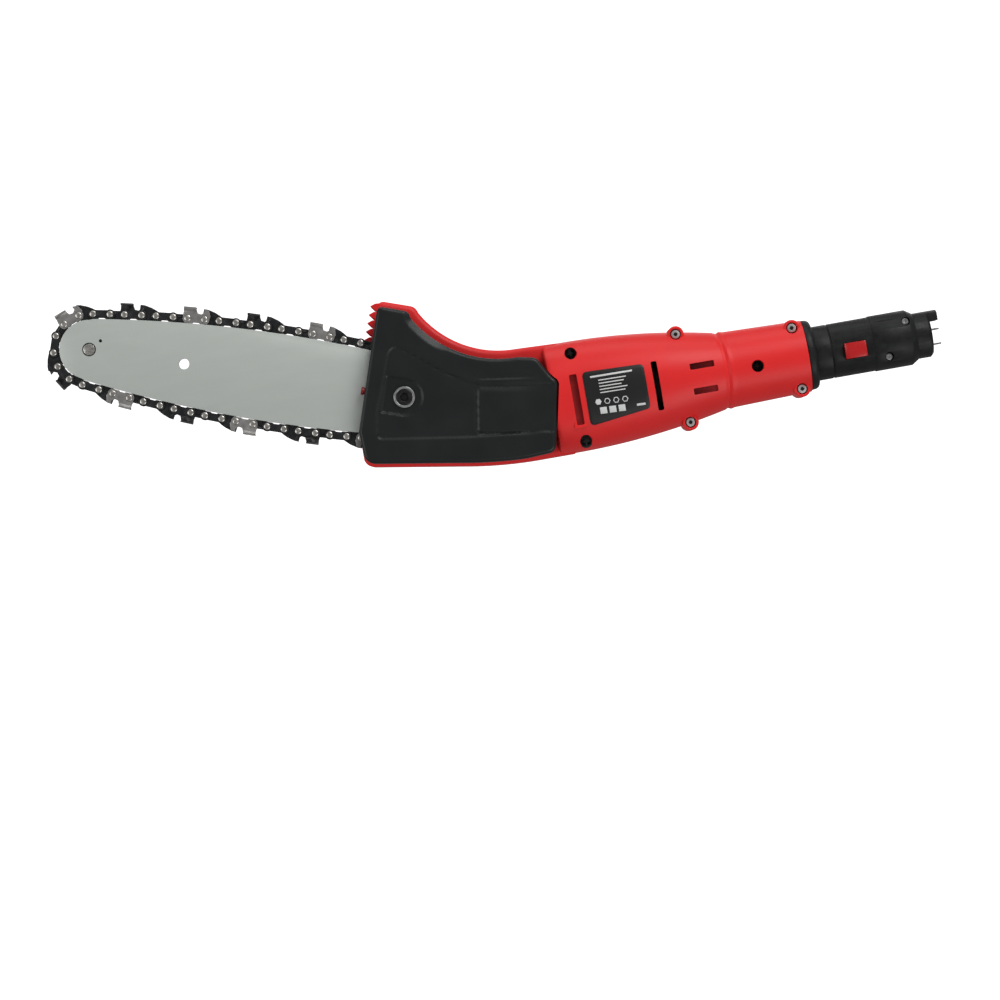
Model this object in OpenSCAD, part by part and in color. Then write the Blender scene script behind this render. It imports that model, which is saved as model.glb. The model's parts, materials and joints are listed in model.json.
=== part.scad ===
// Pole saw head: a chain saw head that plugs onto the end of a telescoping pole.
// X runs along the pole's axis from the saw to the plug, Y from the cover side to the back, Z up.
// The origin is on the plug's axis, half way along its plain barrel.

/* [Plug] */
// Radius of the plug's round barrel
plug_r = 17; // [16:0.5:18]
// Distance from the origin back to the collar's face
collar_back = 46; // [44:1:50]
// Distance from the origin to the end of the plug's barrel
barrel_end = 16; // [14:1:18]
// Radius of the plug's stepped nose
plug_nose_r = 14; // [13:0.5:14.5]
// Distance from the origin to the nose's end face
plug_nose_end = 25.5; // [24:0.5:28]
// Distance that the plug's insert and buttons sit below the axis
insert_drop = 2.2; // [1.5:0.1:2.5]
// Length of a release button along the pole
button_len = 13.4; // [12:0.2:14]
// Height of a release button
button_h = 9.4; // [8:0.2:10]
// Height that a released button stands out of the plug
button_out = 3.2; // [2.6:0.1:3.6]

/* [Housing] */
// Radius of the motor barrel, seen from the side
barrel_r = 34; // [33:0.5:36]
// Half width of the motor barrel across its flats
barrel_w = 29; // [28:0.5:31]
// Radius of the neck where it meets the barrel
neck_r = 23.4; // [23:0.2:24]
// Thickness of the moulded walls
wall = 2.4; // [2:0.1:2.8]
// Depth of the saw end behind the pole's axis
saw_depth = 25; // [24:0.5:27]
// Distance in front of the axis of the face that the cover sits on
joint_face = 10; // [9:0.5:11]
// Depth of the sprocket cover
cover_depth = 18.5; // [18:0.5:19.5]
// Radius of the concave top edge
scoop_r = 62.5; // [61:0.5:64]
// Number of bumper spikes
spike_count = 5; // [3:1:6]
// Distance between bumper spikes
spike_pitch = 5.2; // [4.8:0.1:5.4]

/* [Bar and chain] */
// Angle of the bar below the pole's axis
bend = 18.65; // [18:0.05:19]
// Distance from the nose sprocket to the drive sprocket
bar_reach = 251.2; // [250.5:0.1:252]
// Thickness of the guide bar
bar_t = 4; // [3.6:0.1:4.2]
// Distance of the bar's middle plane in front of the pole's axis
bar_offset = 17; // [16.5:0.25:17.5]
// Rivet line's radius round the nose
nose_line_r = 21.6; // [21:0.1:22]
// Rivet line's radius round the drive sprocket
drive_line_r = 18.4; // [18:0.1:18.6]
// Rivet line's radius along each edge of the bar
edge_line_r = 830; // [800:10:900]
// Drive links in the chain
drive_links = 33; // [33:1:33]
// Gauge of the drive links
gauge = 1.27; // [1.1:0.01:1.3]

/* [Motor and gears] */
// Radius of the motor's steel can
can_r = 18; // [17.5:0.25:19]
// Length of the motor's steel can
can_len = 57; // [54:1:60]
// Teeth on the crown gear
crown_teeth = 36; // [36:1:36]
// Teeth on the motor pinion
pinion_teeth = 9; // [9:1:9]
// Gear module
gear_module = 1.2; // [1.2:0.1:1.2]

/* [Hidden] */
$fn = 64;
e = 0.01;
running_fit = 0.03;

// Stations along the pole's axis
housing_end = -51.5;
neck_start = -103;
barrel_start = -198;
bulge_start = -209.5;
neck_end_r = 22;
clamp_start = -74;
barrel_low = 0.3;

// Plug: the barrel is plain from a fine step at plain_start to the shoulder at plain_end
plain_end = barrel_end - 4;
plain_start = -10.6;
step_r = plug_r - 0.4;
clamp_r = plug_r - 1;
plug_start = -71;
button_x = -22.4;
plug_screw_places = [[10.7, 9.7], [-2.4, -9.7]];
blade_tip = 31.3;
blade_gap = 9;
blade_z = [-insert_drop + blade_gap / 2, -insert_drop - blade_gap / 2];
insert_half = 6.2;

// Housing details: X and Z of the recessed screws, the screw lugs and the long vents
recess_screws = [[-193, 25.6], [-192.8, -28.6], [-83, -1.8]];
lug_places = [[-128, 26.1], [-128.2, -28], [-58, 17.6], [-58, -19.8]];
lug_r = 5;
lug_head_r = 2.6;
lug_depth = 5.5;
lug_well_r = 3.3;
recess_r = 3.6;
screw_seat = 17;
screw_hole_r = 1.4;
slot_x = [-123.8, -108.9];
slot_z = [4.6, -10.5];
slot_half = 1.9;

// Bar frame: u runs from the nose sprocket to the drive sprocket, v across the bar, w to the cover
nose_x = -479.1;
nose_z = 78.3;
drive_x = nose_x + bar_reach * cos(bend);
drive_z = nose_z - bar_reach * sin(bend);
motor_z = drive_z;

// Rivet line: four arcs that meet smoothly
line_inset = edge_line_r - nose_line_r;
arc_u = (pow(bar_reach, 2) + pow(line_inset, 2) - pow(edge_line_r - drive_line_r, 2)) / (2 * bar_reach);
arc_v = sqrt(pow(line_inset, 2) - pow(arc_u, 2));
nose_turn = 180 - atan(arc_v / arc_u);
drive_turn = atan(arc_v / (bar_reach - arc_u));
edge_len = edge_line_r * (nose_turn - drive_turn) * PI / 180;
drive_len = drive_line_r * 2 * drive_turn * PI / 180;
nose_len = nose_line_r * (360 - 2 * nose_turn) * PI / 180;
loop_len = 2 * edge_len + drive_len + nose_len;
link_pitch = loop_len / drive_links;
chain_phase = 55;
cutter_seam = 12;
drive_hole_gap = 8.75;
tang_depth = 6.5;
rivet_r = 2;
strap_t = 1.3;
strap_w = gauge / 2 + 0.03;
bar_inset = 3.05;
bar_nose_r = nose_line_r - bar_inset - 0.55;
groove_depth = 4.6;
tail_u = 226;
stud_u = 193;
stud_r = 4;
slider_u = 174;
rim_gap = 0.4;

// Sprockets
drive_teeth = 6;
nose_teeth = 7;
drive_tooth_r = 11;
nose_tooth_r = 14.2;
nose_rivet_r = 3.5;
shaft_r = 5;
shaft_fit = 0.05;
bearing_r = 11;
washer_w = 9;
screw_w = 7;
tension_r = 2.05;

// Motor stations
pinion_r = gear_module * pinion_teeth / 2;
crown_r = gear_module * crown_teeth / 2;
crown_face = 3;
motor_gap = 17;
motor_front = drive_x + crown_r + motor_gap;
motor_back = motor_front + can_len;
motor_shaft_r = 2.5;
lead_r = 1;

// ---------- outlines ----------
function arc(c, r, a0, a1, n = 16) = [for (i = [0:n])
    let (a = a0 + (a1 - a0) * i / n)
    c + r * [cos(a), sin(a)]];

function unit(p) = p / norm(p);

// Outline moved inwards by d, for an outline whose points run clockwise
function inset(pts, d) = [for (i = [0:len(pts) - 1])
    let (n = len(pts), a = unit(pts[i] - pts[(i + n - 1) % n]), b = unit(pts[(i + 1) % n] - pts[i]),
         m = unit([a[1] + b[1], -a[0] - b[0]]))
    pts[i] + m * d / max(0.5, m * [b[1], -b[0]])];

scoop_c = [-225, 34.5 + scoop_r];
base_r = 270;
base_c = [-221, base_r - 34.5];

// Red saw end, clockwise from its top left corner
saw_outline = concat(
    arc([-300, 73], 3.8, 160, 75, 5),
    arc([-285.5, 65.6], 6, 72, 30, 5),
    arc(scoop_c, scoop_r, 210, 270, 18),
    [[-200, 33.5], [-200, -34.5]],
    arc(base_c, base_r, 270, 260, 8),
    arc([-321, -15], 6.5, 260, 190, 6),
    [[-327.4, 4]]
);

// Black cover, clockwise from its top left corner
cover_outline = concat(
    arc([-300.6, 69], 3.4, 160, 76, 5),
    arc([-289.5, 62.6], 5.6, 73, 36, 5),
    arc(scoop_c, scoop_r + 6, 210, 270, 18),
    arc([-218, 20.5], 6.5, 80, 38, 4),
    [[-208, 15.6]],
    arc([-208, 8.6], 4.4, 55, -8, 5),
    arc([-216.2, -26.6], 5.2, -12, -80, 6),
    arc(base_c, base_r - 1.8, 268, 260, 8),
    arc([-319.4, -13], 7, 258, 190, 6),
    [[-326.8, 1]]
);

// One bumper spike, standing on the sloping front edge
module spikes() {
    for (i = [0:spike_count - 1])
        translate([-304.4 - i * spike_pitch * sin(20) , 74.6 - i * spike_pitch * cos(20)])
            rotate(-20)
                polygon([[2, 2.4], [-0.6, 1.7], [-3.1, -0.5], [-0.5, -2.4], [2, -2.8]]);
}

// ---------- shared solids ----------
// Prism of an outline drawn in X and Z whose edge steps inwards: each step is [from y, to y, inset]
module slab(pts, steps) {
    for (t = steps)
        prism(t[0], t[1]) polygon(inset(pts, t[2]));
}

// Barrel and neck: 0 where the barrel starts to narrow, 1 where the neck starts
function taper(x) = max(0, min(1, (x - barrel_start) / (neck_start - barrel_start)));
function neck_taper(x) = max(0, (x - neck_start) / (housing_end - neck_start));
function body_r(x) = barrel_r - (barrel_r - neck_r) * pow(taper(x), 2)
    - (neck_r - neck_end_r) * neck_taper(x);

// One half of the round barrel and neck, flattened at the sides and set in by d
module body_half(side, x0, x1, d) {
    n = 16;
    half_w = barrel_w - d;
    side_line = [for (i = [0:n]) let (x = x0 + (x1 - x0) * i / n) [body_r(x) - d, x]];
    intersection() {
        translate([0, 0, -barrel_low]) rotate([90, 0, 90]) rotate_extrude()
            polygon(concat([[0, x0]], side_line, [[0, x1]]));
        box_between([x0 - 1, side < 0 ? -half_w : 0, -50], [x1 + 1, side < 0 ? 0 : half_w, 50]);
    }
}

module along_y(x, z, y0, y1, r) translate([x, y1, z]) rotate([90, 0, 0]) cylinder(r = r, h = y1 - y0);
module along_x(x0, x1, r, z = 0, y = 0) {
    translate([x0, y, z]) rotate([0, 90, 0]) cylinder(r = r, h = x1 - x0);
}
module box_between(a, b) translate(a) cube(b - a);
module prism(y0, y1) translate([0, y1, 0]) rotate([90, 0, 0]) linear_extrude(y1 - y0) children();

// ---------- housing ----------
// One half of a cylinder along Y, on the front (side -1) or the back (side 1) of the parting plane
module half_post(p, side, depth, r) {
    along_y(p[0], p[1], min(0, side * depth), max(0, side * depth), r);
}

module lugs(side) {
    for (p = lug_places)
        half_post(p, side, lug_depth + 8, lug_r);
}

module long_vents() {
    for (z = slot_z)
        box_between([slot_x[0], -40, z - slot_half], [slot_x[1], -12, z + slot_half]);
}

module plug_bore() {
    along_x(clamp_start - 1, housing_end + 1, clamp_r + running_fit);
}

module screw_bosses(side) {
    for (p = recess_screws) half_post(p, side, 30, recess_r + 1.4);
}

module housing_front() {
    color("crimson")
    difference() {
        union() {
            difference() {
                union() {
                    body_half(-1, bulge_start, housing_end, 0);
                    prism(-joint_face, 0) saw_profile();
                    lugs(-1);
                }
                body_half(-1, bulge_start + wall, clamp_start, wall);
                prism(-joint_face + wall, e) polygon(inset(saw_outline, wall));
                intersection() {
                    body_half(-1, -220, -190, wall);
                    box_between([-220, -joint_face + wall, -40], [-190, e, 40]);
                }
            }
            intersection() {
                screw_bosses(-1);
                body_half(-1, bulge_start, housing_end, 1);
            }
            box_between([-198, -27, -19], [-190.6, -23.4, 13]);
        }
        plug_bore();
        prism(-40, -joint_face) polygon(inset(cover_outline, -rim_gap));
        // Blind slot by the cover, then the tall vent by the motor's end cap
        box_between([-196.6, -40, -18.3], [-192, -25.2, 12.4]);
        box_between([-146.8, -40, -18], [-143.2, -12, 11.8]);
        long_vents();
        for (p = recess_screws) {
            half_post(p, -1, 40, screw_hole_r + 0.2);
            along_y(p[0], p[1], -40, -screw_seat + 3, recess_r);
        }
        for (p = lug_places) {
            half_post(p, -1, 14, screw_hole_r + 0.2);
            along_y(p[0], p[1], -14, -lug_depth - 5, lug_well_r);
        }
        along_y(drive_x, drive_z, -joint_face - 1, 1, bearing_r);
        bar_frame() translate([stud_u, 0, 0]) cylinder(r = stud_r, h = 30, center = true);
    }
}

module saw_profile() {
    polygon(saw_outline);
    spikes();
}

module housing_back() {
    color("crimson")
    difference() {
        union() {
            difference() {
                union() {
                    slab(saw_outline, [[0, saw_depth - 3, 0],
                        [saw_depth - 3.1, saw_depth - 1, 1.2], [saw_depth - 1.1, saw_depth, 3]]);
                    prism(0, 5) spikes();
                    body_half(1, bulge_start, housing_end, 0);
                    lugs(1);
                }
                slab(saw_outline, [[-1, saw_depth - wall, wall]]);
                body_half(1, bulge_start - 1, clamp_start, wall);
                box_between([-220, -1, -28], [-190, saw_depth - wall, 28]);
            }
            intersection() {
                screw_bosses(1);
                body_half(1, bulge_start, housing_end, 1);
            }
            ring(19.3, saw_depth - wall + 0.1, 9.4, 12.4);
        }
        plug_bore();
        for (p = recess_screws) along_y(p[0], p[1], -1, 12, screw_hole_r);
        for (p = lug_places) along_y(p[0], p[1], -1, 10, screw_hole_r);
    }
}

module sprocket_cover() {
    front = -joint_face - cover_depth;
    face_w = joint_face + cover_depth - bar_offset;
    color([0.13, 0.14, 0.14])
    difference() {
        slab(cover_outline, [[front + 2, -joint_face, 0],
            [front + 0.7, front + 2.1, 0.7], [front, front + 0.8, 2]]);
        difference() {
            slab(cover_outline, [[front + wall, 1 - joint_face, 1.3]]);
            bar_frame() translate([stud_u, 0, bar_t / 2]) cylinder(r = 10.4, h = 10);
        }
        // Way in for the bar and chain at the front edge
        bar_frame() translate([140, -38, -10]) cube([40, 76, 14.2]);
        // Round seat and bore of the bar nut
        bar_frame() translate([stud_u, 0, 0]) cylinder(r = 4.6, h = 30);
        bar_frame() translate([stud_u, 0, washer_w]) cylinder(r = 6.6, h = 10);
        // Sunk pad round the nut
        bar_frame() translate([stud_u, 0, face_w - 0.9]) {
            cylinder(r = 11, h = 4);
            translate([-13, -11, 0]) cube([13, 22, 4]);
        }
        // Bore of the tension screw
        bar_frame() translate([150, 0, screw_w]) rotate([0, 90, 0])
            cylinder(r = tension_r + shaft_fit, h = 22);
    }
}

module rating_plate() {
    color([0.16, 0.17, 0.18])
    intersection() {
        difference() {
            body_half(-1, -192, -148, -0.35);
            body_half(-1, -192.5, -147.5, 0);
        }
        prism(-40, -10) polygon(concat(
            arc([-186, 9.9], 2.4, 180, 92, 4), arc([-154, 8.8], 2.4, 88, 0, 4),
            arc([-154, -13.2], 2.4, 0, -80, 4), arc([-186, -17.2], 2.4, -84, -180, 4)));
    }
}

// ---------- plug ----------
module plug_collar() {
    color([0.1, 0.1, 0.1])
    rotate([90, 0, 90])
    rotate_extrude()
    polygon([[step_r + running_fit, housing_end + 0.02], [21.4, housing_end + 0.02], [21.4, -49.5],
        [20.2, -47], [18.8, -collar_back], [step_r + running_fit, -collar_back]]);
}

module plug_body() {
    rotate([90, 0, 90])
    rotate_extrude()
    polygon([[0, plug_start], [clamp_r, plug_start], [clamp_r, housing_end], [step_r, housing_end],
        [step_r, -collar_back + 9], [step_r - 0.6, -collar_back + 9.6], [step_r, -collar_back + 10.2],
        [step_r, plain_start], [plug_r, plain_start], [plug_r, plain_end],
        [plug_nose_r + 0.4, barrel_end], [plug_nose_r, barrel_end], [plug_nose_r, plug_nose_end - 1.5],
        [plug_nose_r - 1.5, plug_nose_end], [0, plug_nose_end]]);
    // Key tab that stands past the nose
    intersection() {
        along_x(barrel_end, blade_tip - 0.3, plug_nose_r);
        box_between([barrel_end, -7, 7.4], [blade_tip - 0.3, 7, 20]);
    }
}

module button_well(side) {
    translate([button_x, side * 18, -insert_drop])
        cube([button_len + 0.6, 20, button_h + 0.6], center = true);
}

module plug_half(side) {
    color([0.11, 0.11, 0.12])
    difference() {
        intersection() {
            plug_body();
            box_between([-80, min(0, side * 30), -30], [40, max(0, side * 30), 30]);
        }
        along_x(plug_start - 1, -33, clamp_r - wall);
        // Room for the springs, then the pocket of the contact carrier
        box_between([-40, -10, -12], [-4, 10, 8]);
        box_between([-6, -5, -insert_drop - insert_half],
            [plug_nose_end + 1, 5, -insert_drop + insert_half]);
        button_well(side);
        for (p = plug_screw_places) along_y(p[0], p[1], -18, -9, 2.7);
        for (p = plug_screw_places) along_y(p[0], p[1], -18, 9, 1.2);
    }
}

module plug_shell_front() plug_half(-1);
module plug_shell_back() plug_half(1);

module release_button(side) {
    outer = plug_r + button_out;
    color("firebrick")
    difference() {
        union() {
            intersection() {
                translate([button_x, side * 20, -insert_drop])
                    cube([button_len, 22, button_h], center = true);
                linear_extrude(60, center = true)
                    polygon([[button_x - button_len, side * 5], [button_x + button_len, side * 5],
                        [button_x + button_len, side * (plug_r - 1.2)],
                        [button_x + button_len / 2 - 1, side * (plug_r - 0.2)],
                        [button_x - button_len / 2 + 2.6, side * outer],
                        [button_x - button_len / 2, side * (outer - 0.8)],
                        [button_x - button_len, side * plug_r]]);
            }
            translate([button_x, side * 9.15, -insert_drop])
                cube([button_len + 3, 1.5, button_h + 1.4], center = true);
        }
        along_y(button_x, -insert_drop, min(side * 8, side * 14), max(side * 8, side * 14), 3.2);
    }
}

module release_button_front() release_button(-1);
module release_button_back() release_button(1);

module button_spring(side) {
    color("silver")
    for (i = [0:4])
        translate([button_x, side * (4.2 + i * 2.2), -insert_drop])
            rotate([90, 0, 0])
            rotate_extrude() translate([2.4, 0]) circle(r = 0.35, $fn = 16);
}

module button_spring_front() button_spring(-1);
module button_spring_back() button_spring(1);

module contact_carrier() {
    color([0.15, 0.15, 0.15])
    difference() {
        union() {
            box_between([-5.9, -4.9, -insert_drop - insert_half + 0.05],
                [plug_nose_end - 1.4, 4.9, -insert_drop + insert_half - 0.05]);
            box_between([button_x - 6, -3.6, -insert_drop - 4], [-5.8, 3.6, -insert_drop + 4]);
        }
        for (z = blade_z) box_between([-12, -3.05, z - 0.55], [40, 3.05, z + 0.55]);
    }
}

module contact_blades() {
    color("silver")
    for (z = blade_z) box_between([-5, -3, z - 0.5], [blade_tip, 3, z + 0.5]);
}

module small_screw(x, z, y, r) {
    difference() {
        union() {
            along_y(x, z, y, y + 1.6, r);
            along_y(x, z, y + 1.6, y + 9, 1.15);
        }
        translate([x, y, z]) cube([r, 1.6, 0.7], center = true);
        translate([x, y, z]) cube([0.7, 1.6, r], center = true);
    }
}

module plug_screws() {
    color("dimgray")
    for (p = plug_screw_places) small_screw(p[0], p[1], -10.6, 2.1);
}

module housing_screws() {
    color([0.2, 0.2, 0.2])
    for (p = recess_screws) small_screw(p[0], p[1], -screw_seat + 1.4, 3.2);
}

module lug_screws() {
    color("silver")
    for (p = lug_places) small_screw(p[0], p[1], -lug_depth - 6.6, lug_head_r);
}

// Each lead runs from the motor's end cap past the fan and along the neck to the contact carrier
module motor_leads() {
    color("black")
    for (s = [1, -1]) {
        route = [[motor_back + 4.1, 16.5 * s], [motor_back + 26, 16.5 * s],
            [-104, 9 * s], [-40, 9 * s], [-28.5, 4.5 * s]];
        for (i = [0:len(route) - 2]) {
            d = route[i + 1] - route[i];
            translate([route[i][0], 0, motor_z + route[i][1]]) {
                rotate([0, 90 - atan2(d[1], d[0]), 0]) cylinder(r = lead_r, h = norm(d));
                if (i > 0) sphere(r = lead_r + running_fit);
            }
        }
    }
}

// ---------- bar and chain ----------
module bar_frame() {
    translate([nose_x, -bar_offset, nose_z]) rotate([0, bend, 0]) rotate([90, 0, 0])
        children();
}

// Bar outline, set in from the rivet line
function bar_profile(d) =
    let (r = edge_line_r - bar_inset - d,
         tail_a = acos((tail_u - 5 - arc_u) / r), nose_a = acos(-arc_u / r))
    concat(
        arc([arc_u, -arc_v], r, nose_a, tail_a, 24),
        [[tail_u, 12 - d], [tail_u, -12 + d]],
        arc([arc_u, arc_v], r, -tail_a, -nose_a, 24),
        arc([0, 0], bar_nose_r - d, -nose_turn, nose_turn - 360, 24)
    );

module bar_plate(t) linear_extrude(t) polygon(bar_profile(0));

module guide_bar() {
    color([0.62, 0.64, 0.62])
    bar_frame()
    difference() {
        union() {
            translate([0, 0, gauge / 2 + 0.02]) bar_plate(bar_t / 2 - gauge / 2 - 0.02);
            mirror([0, 0, 1]) translate([0, 0, gauge / 2 + 0.02]) bar_plate(bar_t / 2 - gauge / 2 - 0.02);
            translate([0, 0, -bar_t / 4]) linear_extrude(bar_t / 2) difference() {
                polygon(bar_profile(groove_depth));
                circle(r = 18);
            }
        }
        cylinder(r = nose_rivet_r, h = 10, center = true);
        translate([58, 0, 0]) cylinder(r = 3.2, h = 10, center = true);
        translate([6, 6.2, 0]) cylinder(r = 1, h = 10, center = true);
        translate([slider_u, 0, 0]) cylinder(r = 2.5, h = 10, center = true);
        translate([stud_u - 10, -4.1, -5]) cube([32, 8.2, 10]);
        translate([stud_u - 10, 0, 0]) cylinder(r = 4.1, h = 10, center = true);
        translate([stud_u + 22, 0, 0]) cylinder(r = 4.1, h = 10, center = true);
    }
}

module nose_rivet() {
    color("silver")
    bar_frame() cylinder(r = nose_rivet_r, h = bar_t + 0.2, center = true);
}

module tooth_ring(teeth, r, root, width) {
    circle(r = root);
    for (i = [0:teeth - 1])
        rotate(i * 360 / teeth)
            polygon([[0, -width / 2], [root, -width / 2], [r - 0.3, -width / 5], [r - 0.3, width / 5],
                [root, width / 2], [0, width / 2]]);
}

module nose_sprocket() {
    color("gray")
    bar_frame()
    translate([0, 0, -0.6])
    linear_extrude(1.2)
    difference() {
        tooth_ring(nose_teeth, nose_tooth_r, 10, 6);
        circle(r = nose_rivet_r + shaft_fit);
    }
}

function rivet_point(s) =
    let (t = s - loop_len * floor(s / loop_len), deg = 180 / PI)
    t < edge_len ? [arc_u, -arc_v] + edge_line_r * dir(nose_turn - t / edge_line_r * deg)
    : t < edge_len + drive_len
        ? [bar_reach, 0] + drive_line_r * dir(drive_turn - (t - edge_len) / drive_line_r * deg)
    : t < 2 * edge_len + drive_len
        ? [arc_u, arc_v] + edge_line_r * dir(-drive_turn - (t - edge_len - drive_len) / edge_line_r * deg)
    : nose_line_r * dir(-nose_turn - (t - 2 * edge_len - drive_len) / nose_line_r * deg);
function dir(a) = [cos(a), sin(a)];

// Rivets come in pairs: rear and front hole of each pair of side plates
function rear_rivet(k) = rivet_point(chain_phase + k * link_pitch + drive_hole_gap / 2);
function front_rivet(k) = rivet_point(chain_phase + (k + 1) * link_pitch - drive_hole_gap / 2);

// Every second link carries a cutter. The pattern breaks under the cover, as the links don't divide by four
function cutter_step(k) = k < cutter_seam ? k : drive_links - k;
function is_near(k) = cutter_step(k) % 4 == 0;
function is_far(k) = cutter_step(k) % 4 == 2;

// Puts a link between two rivets: x from the rear rivet to the front one, y away from the bar
module at_link(p, q) {
    d = q - p;
    bar_frame() translate([p[0], p[1], 0]) rotate(atan2(d[1], d[0])) children();
}

module rivet_holes(d, r) {
    circle(r = r, $fn = 24);
    translate([d, 0]) circle(r = r, $fn = 24);
}

// Lower edge of a side plate: two feet that run along the bar, with a notch between them
function strap_foot(d) = [[-1.6, -2.85], [2.9, -2.85], [3.5, -2.3],
    [d - 3.5, -2.3], [d - 2.9, -2.85], [d + 1.6, -2.85]];

module strap_profile(d) {
    difference() {
        union() {
            circle(r = 2.9, $fn = 32);
            translate([d, 0]) circle(r = 2.9, $fn = 32);
            polygon(concat(strap_foot(d), [[d, 2.4], [0, 2.4]]));
        }
        rivet_holes(d, rivet_r - 0.45);
    }
}

module cutter_profile(d) {
    difference() {
        union() {
            circle(r = 2.9, $fn = 32);
            translate([d, 0]) circle(r = 2.9, $fn = 32);
            polygon(concat(strap_foot(d), [[d + 3.4, 1.8], [d + 2.4, 5.4], [d - 0.7, 6.5], [d - 0.4, 4.2],
                [d - 2.2, 2.9], [d - 4.4, 3.4], [d - 5.4, 5.9], [-2.3, 5.9], [-2.9, 2]]));
        }
        rivet_holes(d, rivet_r - 0.45);
    }
}

module side_plate() translate([0, 0, strap_w]) linear_extrude(strap_t) children();

module cutter(d) {
    side_plate() cutter_profile(d);
    translate([-2.6, 0, 0]) rotate([90, 0, 90]) linear_extrude(d - 2.8)
        polygon([[4.4, strap_w], [4.4, strap_w + strap_t], [5.6, 3.1], [6.9, 3],
            [6.9, -2.2], [5.9, -2.2], [5.7, strap_w]]);
}

module cutters(far) {
    color(far ? [0.2, 0.2, 0.2] : [0.6, 0.6, 0.6])
    for (k = [0:drive_links - 1])
        if (far ? is_far(k) : is_near(k))
            at_link(rear_rivet(k), front_rivet(k))
                mirror([0, 0, far ? 1 : 0]) cutter(norm(front_rivet(k) - rear_rivet(k)));
}

module chain_cutters_near() cutters(false);
module chain_cutters_far() cutters(true);

module chain_tie_straps() {
    color([0.12, 0.12, 0.12])
    for (k = [0:drive_links - 1]) {
        d = norm(front_rivet(k) - rear_rivet(k));
        at_link(rear_rivet(k), front_rivet(k)) {
            if (!is_near(k)) side_plate() strap_profile(d);
            if (!is_far(k)) mirror([0, 0, 1]) side_plate() strap_profile(d);
        }
    }
}

// The link behind each cutter's depth gauge carries a ramp that leads the wood onto it
module chain_drive_links() {
    color([0.15, 0.15, 0.15])
    for (k = [0:drive_links - 1]) {
        d = norm(rear_rivet(k + 1) - front_rivet(k));
        at_link(front_rivet(k), rear_rivet(k + 1))
            translate([0, 0, -gauge / 2])
            linear_extrude(gauge)
            difference() {
                union() {
                    circle(r = 2.6, $fn = 32);
                    translate([d, 0]) circle(r = 2.6, $fn = 32);
                    polygon([[0, 2.2], [d, 2.2], [d, -2.2], [d - 1.4, -4.5], [d / 2 + 0.8, -tang_depth],
                        [d / 2 - 0.8, -tang_depth], [1.4, -4.5], [0, -2.2]]);
                    if (is_near(k) || is_far(k))
                        polygon([[-1.6, 1], [-1, 6.4], [1.6, 6.2], [6, 4.8], [d, 3.4], [d + 2, 2], [d, 0]]);
                }
                rivet_holes(d, rivet_r - 0.45);
            }
    }
}

module chain_rivets() {
    color("silver")
    bar_frame()
    for (k = [0:drive_links - 1]) for (p = [rear_rivet(k), front_rivet(k)])
        translate([p[0], p[1], 0]) {
            cylinder(r = rivet_r - 0.45, h = 2 * (strap_w + strap_t), center = true, $fn = 24);
            for (s = [0, 1]) mirror([0, 0, s])
                translate([0, 0, strap_w + strap_t])
                    cylinder(r1 = rivet_r, r2 = rivet_r - 0.7, h = 0.7, $fn = 24);
        }
}

// ---------- bar clamp and tensioner ----------
module bar_stud() {
    color("silver")
    bar_frame() translate([stud_u, 0, 0]) {
        translate([0, 0, -13]) cylinder(r = stud_r - 0.02, h = washer_w + 13);
        translate([0, 0, -bar_offset + 0.1]) cylinder(r = 6.5, h = joint_face - wall - 0.12);
    }
}

module nut_washer() {
    color("silver")
    bar_frame() translate([stud_u, 0, washer_w + 0.02]) difference() {
        cylinder(r = 6.4, h = 2.2);
        translate([0, 0, -1]) cylinder(r = 5.1, h = 5);
    }
}

module bar_nut() {
    color([0.1, 0.1, 0.1])
    bar_frame() translate([stud_u, 0, 0]) difference() {
        union() {
            translate([0, 0, 2.2]) cylinder(r = 4.55, h = 8);
            translate([0, 0, washer_w + 0.05]) cylinder(r = 5, h = 2.1);
        }
        translate([0, 0, 1]) cylinder(r = stud_r + shaft_fit, h = 8.1);
        translate([0, 0, 8]) cylinder(r = 2.9, h = 6, $fn = 6);
    }
}

module bar_pad() {
    color([0.3, 0.3, 0.3])
    bar_frame() difference() {
        translate([stud_u - 12, -12, -bar_offset + joint_face + 0.02])
            cube([28, 24, bar_offset - joint_face - bar_t / 2 - 0.06]);
        translate([stud_u, 0, -10]) cylinder(r = stud_r, h = 20);
    }
}

module tension_screw() {
    head_u = slider_u - 7.4;
    color("firebrick")
    bar_frame() translate([head_u, 0, screw_w]) rotate([0, 90, 0]) difference() {
        union() {
            cylinder(r = tension_r, h = 15);
            cylinder(r = 2.45, h = 1.4);
        }
        cube([0.9, 4, 1.4], center = true);
    }
}

module tension_slider() {
    color("gray")
    bar_frame() translate([slider_u, 0, 0]) difference() {
        union() {
            cylinder(r = 2.45, h = 6);
            translate([-2.6, -3, 4.3]) cube([5.2, 6, 4.5]);
        }
        translate([-10, 0, screw_w]) rotate([0, 90, 0]) cylinder(r = tension_r + shaft_fit, h = 20);
    }
}

// ---------- sprocket shaft ----------
module on_shaft(y0, y1, r) along_y(drive_x, drive_z, y0, y1, r);

module drive_sprocket() {
    color("gray")
    translate([drive_x, -bar_offset + 3, drive_z]) rotate([90, 0, 0]) difference() {
        linear_extrude(6) tooth_ring(drive_teeth, drive_tooth_r, 7.5, 5);
        translate([0, 0, -1]) cylinder(r = shaft_r, h = 10);
    }
}

module drive_shaft() {
    color("silver")
    difference() {
        union() {
            on_shaft(-23, 19.5, shaft_r - 0.01);
            on_shaft(-2, 3.4, 7);
        }
        difference() {
            on_shaft(-21.4, -20.3, 8);
            on_shaft(-30, 0, 4);
        }
    }
}

module ring(y0, y1, r0, r1) difference() {
    on_shaft(y0, y1, r1);
    on_shaft(y0 - 1, y1 + 1, r0);
}

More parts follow.
